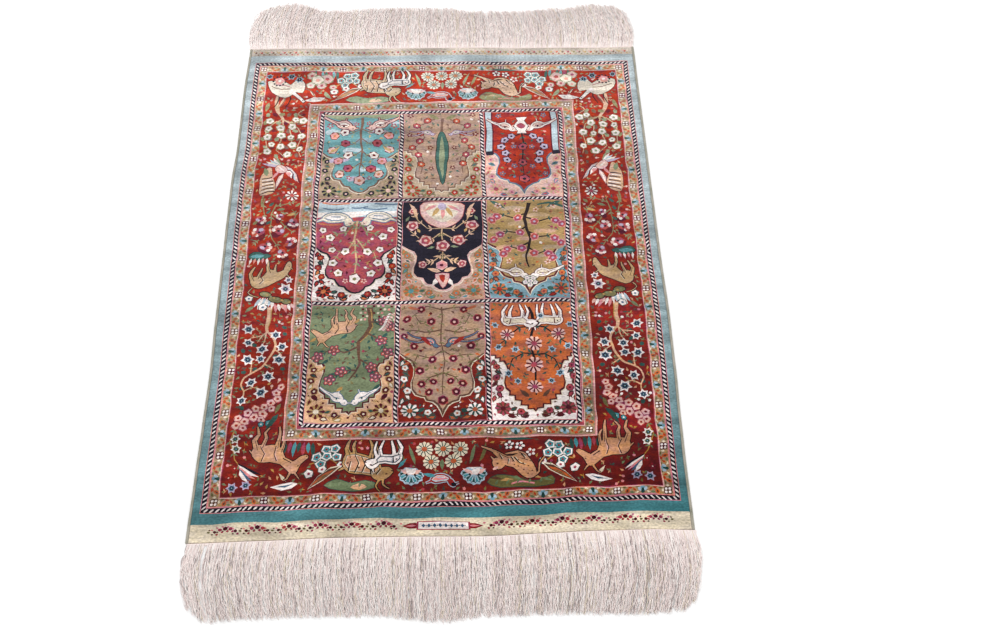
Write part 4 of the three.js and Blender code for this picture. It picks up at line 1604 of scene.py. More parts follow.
    @staticmethod
    def amber(pen: Pen) -> None:
        """A stem of large rosettes between blue stars, over two white kids."""
        pen.stroke([(4, -76), (-2, -50), (3, -20), (-2, 14), (0, 50)], 4.2, Silk.INK, 1.8)
        for half in pen.halves():
            Blossom.spray(half, [(0, -46), (14, -46), (28, -34), (42, -20)], Silk.INK, Silk.PINE, 4, 9, 2.4)
            Blossom.spray(half, [(0, -6), (12, -8), (24, 0), (30, 18)], Silk.INK, Silk.PINE, 4, 9, 2.2)
            plant(
                half, Blossom.star,
                ((41, -18, 5.6), (22, -14, 5.6), (30, 20, 6), (20, 31, 5), (44, -50, 5.2), (10, -62, 5)),
                Silk.POWDER, Silk.SLATE,
            )
            half.leaf(8, 52, 18, 42, 6, Silk.BROWN)
            KID.paint(half.at(-20, -80, 0, 1.05), Silk.WHITE, Silk.WINE, Silk.INK, Silk.CREAM)
        plant(
            pen, Blossom.daisy, ((-1, -22, 10.5), (0, 8, 11), (0, 38, 9.6), (-30, -36, 8.6), (30, -36, 8.6)),
            Silk.BLUSH, Silk.WINE, Silk.ROSE, 9,
        )


@dataclass(frozen=True)
class GardenField:
    """The field: nine panels between ropes.

    Attributes:
        left: the left panels' middle.
        right: the right panels' middle.
        wide: half a panel's width.
        rows: for each row of panels its middle and half its height, the far one first.
        upright_ropes: the places across of the ropes along the rug.
        cross_ropes: the places along of the ropes across it.
    """

    left: float = -107.0
    right: float = 106.5
    wide: float = 50.0
    rows: tuple[Point, ...] = ((171.5, 77.0), (10.5, 78.5), (-157.0, 82.0))
    upright_ropes: tuple[float, ...] = (-53.5, 53.5)
    cross_ropes: tuple[float, ...] = (92.5, -71.5)

    def panels(self) -> list[tuple[NichePanel, Callable[[Pen], None]]]:
        """Each panel and what paints its garden, row by row from the far end."""
        green = (Silk.MOSS, Silk.PINE, Silk.GOLD)
        dark = (Silk.BROWN, Silk.OLIVE, Silk.PINE)
        bright = (Silk.ROSE, Silk.WHITE)
        form = NicheForm
        looks = (
            (form.LOBED, Silk.TURQUOISE, Silk.DUN, Silk.BROWN, Silk.OLIVE, Silk.NAVY, Silk.BLUSH,
             green, bright, Gardens.turquoise),
            (form.STEPPED, Silk.SAND, Silk.GUARD, Silk.BROWN, Silk.OLIVE, Silk.CRIMSON, Silk.BLUSH,
             dark, (Silk.WHITE, Silk.WINE), Gardens.sand),
            (form.OGEE, Silk.CRIMSON, Silk.BLUSH, Silk.SLATE, Silk.FAWN, Silk.PINK, Silk.ROSE,
             (Silk.OLIVE, Silk.PINE, Silk.WINE), (Silk.PINK, Silk.SLATE), Gardens.scarlet),
            (form.LOBED, Silk.ROSE, Silk.WHITE, Silk.NAVY, Silk.INK, Silk.CRIMSON, Silk.ORANGE,
             (Silk.MOSS, Silk.GOLD, Silk.WINE), (Silk.WHITE, Silk.CREAM), Gardens.rose),
            (form.LOBED, Silk.NAVY, Silk.SHELL, Silk.BLUSH, Silk.OLIVE, Silk.ORANGE, Silk.TURQUOISE,
             (), (), Gardens.midnight),
            (form.OGEE, Silk.OCHRE, Silk.SKY, Silk.WINE, Silk.PINE, Silk.ORANGE, Silk.CRIMSON,
             (Silk.PINE, Silk.ORANGE, Silk.BROWN), bright, Gardens.ochre),
            (form.STEPPED, Silk.GREEN, Silk.PEACH, Silk.WINE, Silk.OCHRE, Silk.WINE, Silk.CREAM,
             dark, bright, Gardens.meadow),
            (form.OGEE, Silk.SAND, Silk.RED, Silk.BROWN, Silk.PINE, Silk.WHITE, Silk.ORANGE,
             (Silk.BROWN, Silk.OLIVE, Silk.ORANGE), (Silk.WINE, Silk.WHITE), Gardens.fawn),
            (form.STEPPED, Silk.ORANGE, Silk.WHITE, Silk.WINE, Silk.BROWN, Silk.ROSE, Silk.WINE,
             dark, bright, Gardens.amber),
        )
        places = [(x, y, self.wide, tall) for y, tall in self.rows for x in (self.left, 0, self.right)]
        return [(NichePanel(*place, *look), garden) for place, (*look, garden) in zip(places, looks)]

    def paint(self, pen: Pen) -> None:
        """Paints the nine panels and the ropes between them."""
        for panel, garden in self.panels():
            panel.paint(pen, garden)
        rope = RopeStripe()
        inner = INNER_ROPE.inset(ROPE_WIDTH)
        for x in self.upright_ropes:
            rope.run(pen, (x, inner.near_left[1] - 2), (x, inner.far_left[1] + 2))
        for y in self.cross_ropes:
            rope.run(pen, (inner.near_left[0] - 1, y), (inner.near_right[0] + 3, y))


@dataclass(frozen=True)
class KilimBands:
    """The flat-woven bands at both ends, with small brocaded flowers.

    Attributes:
        near: where the near band's middle lies.
        far: where the far band's middle lies.
        garlands: how many garlands stand on each side of the near band's cartouche.
        garland_step: how far apart they stand.
        sprigs: how many sprigs the far band has.
        sprig_step: how far apart they stand.
    """

    near: float = -368.0
    far: float = 369.0
    garlands: int = 6
    garland_step: float = 33.5
    sprigs: int = 66
    sprig_step: float = 8.0

    def garland(self, pen: Pen) -> None:
        """Paints one small garland of dark flowers."""
        for k, x in enumerate((-11, -5.5, 0, 5.5, 11)):
            y = 1.8 - 0.03 * x * x
            pen.oval(x + 2.6, y + 2.6, 1.6, 1.2, Silk.PINK, 30, 5)
            pen.oval(x - 2.4, y - 3.0, 1.7, 1.3, Silk.ROSE, -30, 5)
            pen.oval(x + 2.6, y - 2.9, 1.3, 1.0, Silk.BROWN, sides=5)
            pen.oval(x, y, 2.8 - 0.07 * abs(x), 2.5 - 0.06 * abs(x), Silk.ROSE if k % 2 else Silk.WINE)
        pen.oval(17.4, -2.0, 1.9, 1.3, Silk.OLIVE, 10, 5)
        pen.oval(16.4, 0.6, 1.3, 1.0, Silk.BROWN, -10, 5)

    def paint(self, pen: Pen) -> None:
        """Paints both bands on the cloth's pale ground."""
        for half in pen.at(0, self.near).halves():
            for k in range(self.garlands):
                self.garland(half.at(63 + self.garland_step * k, 0))
            half.leaf(24, -1.5, 44, -1.5, 8, Silk.CRIMSON)
            half.leaf(28, -1.5, 41, -1.5, 3, Silk.PINK)
            half.oval(45, 1.6, 1.6, 1.4, Silk.PINK, sides=5)
        pen.box(-28, -374.5, 30, -364.4, Silk.ROSE)
        pen.box(-26, -373.4, 28, -365.4, Silk.WHITE)
        for k in range(8):
            x = -20.5 + 6 * k
            pen.area([(x - 2.2, -369.4), (x, -371.8), (x + 2.2, -369.4), (x, -367)], Silk.SLATE)
            pen.oval(x + 3, -369.4, 0.8, 0.8, Silk.NAVY, sides=5)
        tones = (Silk.BROWN, Silk.ROSE, Silk.OLIVE, Silk.BROWN, Silk.GOLD, Silk.RUST)
        for k in range(self.sprigs):
            own = pen.at(-262 + self.sprig_step * k, self.far)
            own.oval(0, 0.6, 1.6, 2.4, tones[k % 6], -18, 5)
            own.oval(2.8, -3.0, 1.3, 1.6, tones[(k // 4) % 6], 20, 5)
            own.oval(-2.6, 2.2, 1.0, 1.8, Silk.PINK if k % 2 else Silk.GOLD, 15, 5)


def meshed(name: str, points: Sequence[Sequence[float]], faces: Sequence[Sequence[int]]) -> bpy.types.Mesh:
    """A new mesh from its points in metres and its faces."""
    mesh = bpy.data.meshes.new(name)
    mesh.from_pydata(points, [], faces)
    return mesh


def placed(name: str, data: bpy.types.ID) -> bpy.types.Object:
    """A new object in the scene that holds a mesh, a light or a camera."""
    made = bpy.data.objects.new(name, data)
    bpy.context.scene.collection.objects.link(made)
    return made


@dataclass
class RugCloth:
    """The woven cloth: its uneven outline, its pile and kilim heights, and the pattern on it.

    Attributes:
        length: the cloth from kilim edge to kilim edge.
        pile: the height of the pile's face above the floor.
        kilim: the height of the flat-woven bands.
        shoulder: how far the pile slopes down to a band.
        lift: how far the back stands off the floor.
        near_kilim: how long the near band is.
        far_kilim: how long the far band is.
        rounding: how wide the pile's rounded side edge is.
        rolled_down: how far the pile sinks at that edge.
        swell: how high the cloth's low swells rise.
        swell_size: how far it is across, and along, from a rise to the next dip.
        wave_starts: how far along the end waves begin.
        wave_full: how far along they are whole.
        grid: how far apart the extra points of the plain stretches lie.
        rim_cuts: how many pieces each side of the cloth's outline is cut into.
        wander: how far the weaver's lines stray from the cartoon.
        calm: how near the edge the lines still run straight.
        free: how far from the edge they stray in full.
        strays: for each axis two waves, each by its radians to a millimetre across and along, and its start.
        painted_sheen_tilt: how much sooner the left side pales than the right with painted sheen, in teal
            and in the other silks.
        back_detail: the smallest area of colour, in square millimetres, that the back shows.
        side_edge: place along, then how far the left and right edges stand out there.
        end_edge: place across, then how far the near and far ends stand out there.
    """

    length: float = 759.0
    near_kilim: float = 20.5
    far_kilim: float = 16.0
    pile: float = 3.0
    kilim: float = 1.6
    shoulder: float = 1.6
    rounding: float = 1.8
    rolled_down: float = 0.7
    swell: float = 0.3
    swell_size: Point = (210.0, 150.0)
    lift: float = 0.05
    wave_starts: float = 240.0
    wave_full: float = 345.0
    grid: float = 25.0
    rim_cuts: int = 24
    wander: float = 0.7
    calm: float = 6.0
    free: float = 20.0
    strays: tuple[tuple[Spot, Spot], ...] = (
        ((0.05, 0.11, 0), (-0.13, 0.27, 1)), ((0.09, -0.04, 0), (0.23, 0.12, 2)),
    )
    painted_sheen_tilt: Point = (0.02, 0.1)
    back_detail: float = 300.0
    side_edge: tuple[tuple[float, float, float], ...] = (
        (-380, 1.4, -1.3), (-300, 0.2, -1.5), (-240, -0.8, -0.7), (-170, -1.8, 0.9), (-90, -0.4, 1.7),
        (0, 0.4, 0.4), (70, 1.2, 0.3), (135, 1.7, 0.1), (190, -0.3, 0.2), (300, 0.4, 0.0), (380, -1.2, 0.4),
    )
    end_edge: tuple[tuple[float, float, float], ...] = (
        (-270, 3.0, 2.2), (-200, 1.5, 2.5), (-110, -0.6, 0.4), (-50, -0.2, 0.8), (50, 1.2, 0.2),
        (110, -0.8, -1.6), (160, -2.5, -1.8), (225, -3.0, -2.8), (270, -1.0, -1.4),
    )

    def side(self, sign: int, y: float) -> float:
        """How far the cloth's edge lies from the middle on one side, at a place along the rug."""
        return CLOTH_SIDE + from_table(self.side_edge, 1 if sign < 0 else 2, y)

    def end_shift(self, x: float, y: float) -> float:
        """How far the end waves move a point along the rug."""
        share = eased(self.wave_starts, self.wave_full, abs(y))
        return math.copysign(share, y) * from_table(self.end_edge, 1 if y < 0 else 2, x)

    def stray(self, axis: int, x: float, y: float) -> float:
        """How far the lines stray at a point of the straight pattern: across, or along where axis is 1."""
        reach = min(CLOTH_SIDE - abs(x), self.length / 2 - abs(y))
        long, short = (math.sin(a * x + b * y + start) for a, b, start in self.strays[axis])
        return self.wander * eased(self.calm, self.free, reach) * (long + 0.6 * short)

    def settle(self, x: float, y: float) -> Point:
        """Where a point of the straight pattern lies in the uneven cloth."""
        moved = x / CLOTH_SIDE * self.side(-1 if x < 0 else 1, y)
        return moved + self.stray(0, x, y), y + self.stray(1, x, y) + self.end_shift(moved, y)

    def height(self, x: float, y: float) -> float:
        """The upper face's height at a point of the straight cloth."""
        end = self.length / 2
        near = (y + end - self.near_kilim + self.shoulder) / self.shoulder
        far = (end - self.far_kilim + self.shoulder - y) / self.shoulder
        share = min(max(min(near, far), 0.0), 1.0)
        across, along = self.swell_size
        swell = self.swell * math.sin(math.pi * x / across) * math.cos(math.pi * y / along)
        edge = self.rolled_down * eased(CLOTH_SIDE - self.rounding, CLOTH_SIDE, abs(x))
        return self.kilim + share * (self.pile - self.kilim + swell - edge)

    def draw(self) -> Cartoon:
        """Draws the whole pattern, in millimetres from the rug's own middle."""
        cartoon = Cartoon()
        whole = Pen(cartoon)
        side, end = CLOTH_SIDE, self.length / 2
        shares = [k / self.rim_cuts for k in range(self.rim_cuts)]
        edges = Quad((-side, -end), (side, -end), (side, end), (-side, end)).sides()
        rim = [(ax + (bx - ax) * s, ay + (by - ay) * s) for (ax, ay), (bx, by) in edges for s in shares]
        whole.area(rim, Silk.KILIM)
        pen = whole.at(0, PATTERN_Y)
        KilimBands().paint(pen)
        near, far = -end + self.near_kilim - self.shoulder, end - self.far_kilim + self.shoulder
        whole.box(-side, near, side, far, Silk.KILIM)
        for inset in (0, self.rounding):
            whole.box(-side + inset, near + self.shoulder, side - inset, far - self.shoulder, Silk.TEAL)
        RopeStripe().ring(pen, OUTER_ROPE, Silk.BLUSH)
        guard = OUTER_ROPE.inset(ROPE_WIDTH)
        GuardBorder(guard, OUTER_GUARD, 9, 12).paint(pen)
        HuntingBorder().paint(pen, guard.inset(OUTER_GUARD))
        inner = INNER_ROPE.inset(-INNER_GUARD)
        pen.area(inner.inset(-1.2).corners(), Silk.BLUSH)
        GuardBorder(inner, INNER_GUARD, 6, 10, Silk.DUN).paint(pen)
        GardenField().paint(pen)
        rope = RopeStripe()
        for start, reach in INNER_ROPE.inset(ROPE_WIDTH / 2).sides():
            rope.run(pen, start, reach)
        return cartoon

    def ground_points(self) -> list[Vector]:
        """Evenly spread points that let the plain stretches follow the swells."""
        across = int(CLOTH_SIDE // self.grid)
        up = int(self.length / 2 // self.grid)
        columns, rows = range(-across, across + 1), range(-up, up + 1)
        return [Vector((self.grid * i, self.grid * k)) for i in columns for k in rows]

    def build(self) -> bpy.types.Object:
        """Cuts the pattern into one closed sheet with its colours and its own map.

        Returns:
            The rug's cloth.
        """
        cartoon = self.draw()
        points, triangles, silks = cartoon.cut(self.ground_points(), 0)
        back_points, back_triangles, back_silks = cartoon.cut(self.ground_points(), self.back_detail)
        count = len(points)
        places = [(*self.settle(p.x, p.y), self.height(p.x, p.y)) for p in points]
        places += [(*self.settle(p.x, p.y), self.lift) for p in back_points]
        faces = [tuple(t) for t in triangles]
        faces += [tuple(count + i for i in reversed(t)) for t in back_triangles]
        tones = silks + back_silks
        back_rim = self.rim_edges(back_triangles)
        below = {self.rim_key(back_points[i]): count + i for edge in back_rim for i in edge}
        for (a, b), number in self.rim_edges(triangles).items():
            faces.append((b, a, below[self.rim_key(points[a])], below[self.rim_key(points[b])]))
            tones.append(silks[number])
        mesh = meshed("rug_cloth", [(x * MM, y * MM, z * MM) for x, y, z in places], faces)
        self.colour(mesh, tones)
        self.map(mesh, count)
        counts = len(cartoon.outlines), len(triangles), len(back_triangles)
        log.info("cloth: %d outlines, %d triangles on the face, %d on the back", *counts)
        return placed("rug_cloth", mesh)

    @staticmethod
    def rim_key(point: Vector) -> tuple[int, int]:
        """A rim point's place in tenths of a millimetre, the same on the face and the back."""
        return round(point.x * 10), round(point.y * 10)

    @staticmethod
    def rim_edges(triangles: list[list[int]]) -> dict[tuple[int, int], int]:
        """Each edge that only one triangle has, with that triangle's number."""
        edges: dict[tuple[int, int], int] = {}
        for number, triangle in enumerate(triangles):
            for a, b in zip(triangle, [*triangle[1:], triangle[0]]):
                if (b, a) in edges:
                    del edges[(b, a)]
                else:
                    edges[(a, b)] = number
        return edges

    def colour(self, mesh: bpy.types.Mesh, silks: list[Silk]) -> None:
        """Writes each face's silk on its corners, with painted sheen: paler towards the far end, and a
        little paler on the left than the right.
        """
        loops = np.zeros(len(mesh.polygons), np.int32)
        mesh.polygons.foreach_get("loop_total", loops)
        corners = np.zeros(len(mesh.loops), np.int32)
        mesh.loops.foreach_get("vertex_index", corners)
        places = np.zeros(3 * len(mesh.vertices), np.float32)
        mesh.vertices.foreach_get("co", places)
        names = list(Silk)
        shades = np.array([silk.shades() for silk in names], np.float32)
        number = {silk: k for k, silk in enumerate(names)}
        which = np.repeat(np.array([number[silk] for silk in silks]), loops)
        x, y, _ = places.reshape(-1, 3)[corners].T / MM
        teal = which == number[Silk.TEAL]
        # painted sheen: how far each corner has gone from its near colour to its far one, along the rug and
        # a little across it
        share = np.clip(y / self.length + 0.5 - np.where(teal, *self.painted_sheen_tilt) * x / CLOTH_SIDE, 0, 1)
        # painted sheen: the teal border pales sooner along the rug
        share = np.where(teal, 1 - (1 - share) ** 2, share)[:, None]
        # each corner's silk colour with its painted sheen
        spread = shades[which, 0] * (1 - share) + shades[which, 1] * share
        layer = mesh.color_attributes.new("silk", "FLOAT_COLOR", "CORNER")
        layer.data.foreach_set("color", spread.astype(np.float32).ravel())

    def map(self, mesh: bpy.types.Mesh, count: int) -> None:
        """Lays the face and the back side by side in one flat map."""
        layer = mesh.uv_layers.new(name="OFBake")
        corners = np.zeros(len(mesh.loops), np.int32)
        mesh.loops.foreach_get("vertex_index", corners)
        spots = np.array([v.co for v in mesh.vertices])
        wide, tall = 0.56, 0.78
        margin, half = 0.005, 0.49
        u = spots[corners, 0] / wide + 0.5
        v = spots[corners, 1] / tall + 0.5
        start = np.where(corners >= count, 0.5 + margin, margin)
        flat = np.stack([start + half * u, v], 1)
        layer.data.foreach_set("uv", flat.astype(np.float32).ravel())


class NodeTree:
    """A short way to write a node tree: each call adds a node, sets its inputs and gives back its output."""

    def __init__(self, tree: bpy.types.NodeTree) -> None:
        """Starts on a tree with its nodes cleared."""
        self.tree = tree
        tree.nodes.clear()

    def node(self, kind: str, inputs: dict | None = None, **settings: object) -> bpy.types.Node:
        """Adds a node.

        Args:
            kind: the node's type.
            inputs: for each input's name or number, a value or another node's output.
            settings: the node's own properties.

        Returns:
            The node.
        """
        node = self.tree.nodes.new(kind)
        for name, value in settings.items():
            setattr(node, name, value)
        for key, value in (inputs or {}).items():
            if isinstance(value, bpy.types.NodeSocket):
                self.tree.links.new(value, node.inputs[key])
            else:
                node.inputs[key].default_value = value
        return node

    def math(self, operation: str, *values: object) -> bpy.types.NodeSocket:
        """The result of a sum on numbers or outputs."""
        return self.node("ShaderNodeMath", dict(enumerate(values)), operation=operation).outputs[0]

    def times(self, a: object, b: object) -> bpy.types.NodeSocket:
        """One number or output times another."""
        return self.math("MULTIPLY", a, b)

    def plus(self, a: object, b: object) -> bpy.types.NodeSocket:
        """One number or output plus another."""
        return self.math("ADD", a, b)

    def minus(self, a: object, b: object) -> bpy.types.NodeSocket:
        """One number or output less another."""
        return self.math("SUBTRACT", a, b)

    def scaled(self, value: object, factor: float, start: float) -> bpy.types.NodeSocket:
        """A number or output times a factor, counted from a start."""
        return self.math("MULTIPLY_ADD", value, factor, start)

    def mixed(self, blend: str, factor: object, a: object, b: object) -> bpy.types.NodeSocket:
        """The result of blending two colours."""
        node = self.node("ShaderNodeMix", {0: factor, 6: a, 7: b}, data_type="RGBA", blend_type=blend)
        return node.outputs[2]

    def stretched(self, place: object, scale: tuple[float, float]) -> bpy.types.NodeSocket:
        """A place with so many units to a metre across and along, so that its noise can run in streaks."""
        return self.node("ShaderNodeMapping", {"Vector": place, "Scale": (*scale, 1)}).outputs[0]

    def noise(self, place: object, scale: float, detail: float) -> bpy.types.NodeSocket:
        """Smooth noise, about 0.5 on average, with so many waves to a unit of place."""
        node = self.node("ShaderNodeTexNoise", {"Vector": place, "Scale": scale, "Detail": detail})
        return node.outputs["Fac"]

    def surface(self, looks: dict[str, object]) -> None:
        """Ends the tree in a surface with the given looks."""
        shader = self.node("ShaderNodeBsdfPrincipled", looks)
        self.node("ShaderNodeOutputMaterial", {"Surface": shader.outputs[0]})


@dataclass(frozen=True)
class PileFinish:
    """Short silk pile: knot rows, cloudy dye lots, uneven reds and a soft sheen.

    Attributes:
        knot: how far apart the rows of knots lie, in millimetres.
        streaks: how many of the yarn's streaks there are to a metre, across and along.
        picks: how many grains of single knots.
        spots: how many patches in the reds.
        wine: what a red is multiplied by where it takes little of the dye.
        orange: what it is multiplied by where it takes most.
        roughness: how rough the surface is.
        sheen: how strong its sheen is.
    """

    knot: float = 1.0
    streaks: tuple[float, float] = (9, 90)
    picks: tuple[float, float] = (330, 540)
    spots: tuple[float, float] = (75, 100)
    wine: Colour = (0.7, 0.75, 1.7, 1.0)
    orange: Colour = (1.4, 1.3, 0.7, 1.0)
    roughness: float = 0.8
    sheen: float = 0.03

    def material(self) -> bpy.types.Material:
        """Makes the finish.

        Returns:
            The material.
        """
        made = bpy.data.materials.new("silk_pile")
        made.use_nodes = True
        tree = NodeTree(made.node_tree)
        place = tree.node("ShaderNodeTexCoord").outputs["Object"]
        silk = tree.node("ShaderNodeAttribute", attribute_name="silk").outputs["Color"]
        lots = tree.noise(tree.stretched(place, self.streaks), 1.0, 3.0)
        clouds = tree.noise(place, 22.0, 4.0)
        grain = tree.noise(tree.stretched(place, self.picks), 1.0, 1.0)
        tone = tree.scaled(lots, 1.5, 0.28)
        tone = tree.times(tone, tree.scaled(clouds, 1.3, 0.38))
        tone = tree.times(tone, tree.scaled(grain, 1.2, 0.4))
        value = tree.node("ShaderNodeCombineColor", {0: tone, 1: tone, 2: tone}).outputs[0]
        colour = tree.mixed("MULTIPLY", 1.0, silk, value)
        colour = tree.mixed("MULTIPLY", self.redness(tree, silk), colour, self.madder(tree, place))
        bump = self.knots(tree, place)
        tree.surface(
            {"Base Color": colour, "Roughness": self.roughness, "Sheen Weight": self.sheen,
             "Sheen Roughness": 0.45, "Specular IOR Level": 0.08, "Normal": bump}
        )
        return made

    def redness(self, tree: NodeTree, silk: bpy.types.NodeSocket) -> bpy.types.NodeSocket:
        """How far a silk is dyed with madder, from 0 to 1."""
        red, green, blue = tree.node("ShaderNodeSeparateColor", {0: silk}).outputs
        total = tree.plus(tree.plus(red, green), blue)
        share = tree.math("DIVIDE", tree.minus(red, green), total)
        return tree.math("MAXIMUM", share, 0.0)

    def madder(self, tree: NodeTree, place: bpy.types.NodeSocket) -> bpy.types.NodeSocket:
        """The uneven take of a red dye, from wine to orange."""
        take = tree.noise(tree.stretched(place, self.spots), 1.0, 2.0)
        return tree.mixed("MIX", tree.scaled(take, 3.2, -1.1), self.wine, self.orange)

    def knots(self, tree: NodeTree, place: bpy.types.NodeSocket) -> bpy.types.NodeSocket:
        """The relief of the knots, row by row."""
        axes = tree.node("ShaderNodeSeparateXYZ", {0: place})
        turns = 2 * math.pi / (self.knot * MM)
        across = tree.math("SINE", tree.times(axes.outputs[0], turns))
        along = tree.math("SINE", tree.times(axes.outputs[1], turns))
        rough = tree.noise(place, 420.0, 2.0)
        relief = tree.plus(tree.times(across, along), tree.times(rough, 3.0))
        bump = tree.node("ShaderNodeBump", {"Strength": 0.35, "Distance": 0.0004, "Height": relief})
        return bump.outputs[0]


@dataclass(frozen=True)
class CordFinish:
    """Twisted silk yarn, with a fine grain of plies."""

    name: str
    colour: Colour
    shade: Colour
    roughness: float = 0.7
    sheen: float = 0.4

    def material(self) -> bpy.types.Material:
        """Makes the finish.

        Returns:
            The material.
        """
        made = bpy.data.materials.new(self.name)
        made.use_nodes = True
        tree = NodeTree(made.node_tree)
        place = tree.node("ShaderNodeTexCoord").outputs["Object"]
        patches = tree.noise(place, 60.0, 3.0)
        plies = tree.noise(place, 900.0, 1.0)
        share = tree.times(patches, tree.scaled(plies, 0.8, 0.5))
        colour = tree.mixed("MIX", share, self.colour, self.shade)
        bump = tree.node("ShaderNodeBump", {"Strength": 0.3, "Distance": 0.0002, "Height": plies}).outputs[0]
        tree.surface(
            {"Base Color": colour, "Roughness": self.roughness, "Sheen Weight": self.sheen, "Normal": bump}
        )
        return made


class FringeTone(Enum):
    """The warp silk's tones, the commonest first; the last, SHADED, is painted shade for the shadow between
    strands.
    """

    ROSY = "#efdfdb"
    PALE = "#f8f0ec"
    BEIGE = "#e4d6c2"
    # painted shade: darker strands that stand in for the shadow in the gaps between strands
    SHADED = "#b3a29f"

    def linear(self) -> Colour:
        """The tone as scene-linear red, green, blue and alpha."""
        return linear(self.value)


@dataclass(frozen=True)
class YarnFinish:
    """Loose silk warp, plain and softly shining."""

    name: str
    tone: FringeTone
    roughness: float = 0.6
    sheen: float = 0.3

    def material(self) -> bpy.types.Material:
        """Makes the finish."""
        made = bpy.data.materials.new(self.name)
        made.use_nodes = True
        shader = made.node_tree.nodes["Principled BSDF"]
        shader.inputs["Base Color"].default_value = self.tone.linear()
        shader.inputs["Roughness"].default_value = self.roughness
        shader.inputs["Sheen Weight"].default_value = self.sheen
        return made


class Recipe:
    """A geometry tree with named sizes, which puts one small shape on each point of a mesh of roots."""

    def __init__(self, name: str, sizes: dict[str, float | int]) -> None:
        """Starts the tree with its named inputs.

        Args:
            name: the tree's name.
            sizes: each input's name and value.
        """
        self.group = bpy.data.node_groups.new(name, "GeometryNodeTree")
        self.nodes = NodeTree(self.group)
        sockets = self.group.interface
        sockets.new_socket("Roots", in_out="INPUT", socket_type="NodeSocketGeometry")
        self.values: dict[str, object] = {}
        for size, value in sizes.items():
            kind = "NodeSocketInt" if isinstance(value, int) else "NodeSocketFloat"
            self.values[sockets.new_socket(size, in_out="INPUT", socket_type=kind).identifier] = value
        self.yarn = sockets.new_socket("Yarn", in_out="INPUT", socket_type="NodeSocketMaterial").identifier
        sockets.new_socket("Pieces", in_out="OUTPUT", socket_type="NodeSocketGeometry")
        self.given = self.nodes.node("NodeGroupInput").outputs

    def attribute(self, name: str) -> bpy.types.NodeSocket:
        """A root's own number, read by its name."""
        node = self.nodes.node("GeometryNodeInputNamedAttribute", {"Name": name}, data_type="FLOAT")
        return node.outputs["Attribute"]

    def shapes(self, segments: object) -> tuple[bpy.types.NodeSocket, bpy.types.NodeSocket]:
        """A straight line on every root, in its own copy.

        Args:
            segments: how many points it has.

        Returns:
            The lines, and how far along its line a point lies.
        """
        line = self.nodes.node("GeometryNodeCurvePrimitiveLine", {"End": (0, 0, 0)}).outputs[0]
        fine = self.nodes.node("GeometryNodeResampleCurve", {"Curve": line, "Count": segments}).outputs[0]
        roots = self.given["Roots"]
        put = self.nodes.node("GeometryNodeInstanceOnPoints", {"Points": roots, "Instance": fine})
        real = self.nodes.node("GeometryNodeRealizeInstances", {"Geometry": put.outputs[0]}).outputs[0]
        count = self.nodes.minus(segments, 1.0)
        index = self.nodes.node("GeometryNodeSplineParameter").outputs["Index"]
        return real, self.nodes.math("DIVIDE", index, count)

    def finish(
        self, lines: bpy.types.NodeSocket, offset: dict[int, object], radius: object, sides: int
    ) -> None:
        """Moves the lines' points, rounds them into yarn and closes the tree.

        Args:
            lines: the lines.
            offset: how far each point moves along each axis.
            radius: the yarn's radius.
            sides: how many sides the yarn has.
        """
        nodes = self.nodes
        move = nodes.node("ShaderNodeCombineXYZ", offset).outputs[0]
        bent = nodes.node("GeometryNodeSetPosition", {"Geometry": lines, "Offset": move}).outputs[0]
        circle = nodes.node("GeometryNodeCurvePrimitiveCircle", {"Resolution": sides, "Radius": 1.0})
        yarn = nodes.node(
            "GeometryNodeCurveToMesh",
            {"Curve": bent, "Profile Curve": circle.outputs[0], "Scale": radius, "Fill Caps": True},
        ).outputs[0]
        real = nodes.node("GeometryNodeRealizeInstances", {"Geometry": yarn}).outputs[0]
        dyed = nodes.node("GeometryNodeSetMaterial", {"Geometry": real, "Material": self.given["Yarn"]})
        nodes.node("NodeGroupOutput", {0: dyed.outputs[0]})

    def make(
        self, name: str, roots: dict[str, Sequence[float]], yarn: bpy.types.Material
    ) -> bpy.types.Object:
        """Runs the tree over roots and keeps the result as a plain mesh.

        Args:
            name: the new object's name.
            roots: the roots' x, y and z in metres, and any other number that the tree reads, by name.
            yarn: the yarn's finish.

        Returns:
            The object.
        """
        mesh = meshed(name, list(zip(roots["x"], roots["y"], roots["z"])), [])
        for key in roots.keys() - {"x", "y", "z"}:
            mesh.attributes.new(key, "FLOAT", "POINT").data.foreach_set("value", list(roots[key]))
        made = placed(name, mesh)
        modifier = made.modifiers.new(name, "NODES")
        modifier.node_group = self.group
        for socket, value in self.values.items():
            modifier[socket] = value
        modifier[self.yarn] = yarn
        whole = bpy.data.meshes.new_from_object(made.evaluated_get(bpy.context.evaluated_depsgraph_get()))
        made.modifiers.remove(modifier)
        made.data = whole
        return made


def joined(name: str, parts: Sequence[bpy.types.Object]) -> bpy.types.Object:
    """Joins objects into the first one, under a new name."""
    with bpy.context.temp_override(active_object=parts[0], selected_editable_objects=list(parts)):
        bpy.ops.object.join()
    parts[0].name = name
    parts[0].data.name = name
    return parts[0]


def lofted(name: str, rings: Sequence[Sequence[Spot]], yarn: bpy.types.Material) -> bpy.types.Object:
    """A closed body through rings of points in millimetres, anticlockwise seen from the first ring's side.

    Args:
        name: the object's name.
        rings: the rings.
        yarn: its finish.

    Returns:
        The object.
    """
    sides = len(rings[0])
    points = [tuple(v * MM for v in p) for ring in rings for p in ring]
    faces = [tuple(range(sides)), tuple(len(points) - 1 - s for s in range(sides))]
    for k in range(len(rings) - 1):
        low = k * sides
        for s in range(sides):
            t = (s + 1) % sides
            faces.append((low + s, low + sides + s, low + sides + t, low + t))
    mesh = meshed(name, points, faces)
    mesh.materials.append(yarn)
    return placed(name, mesh)


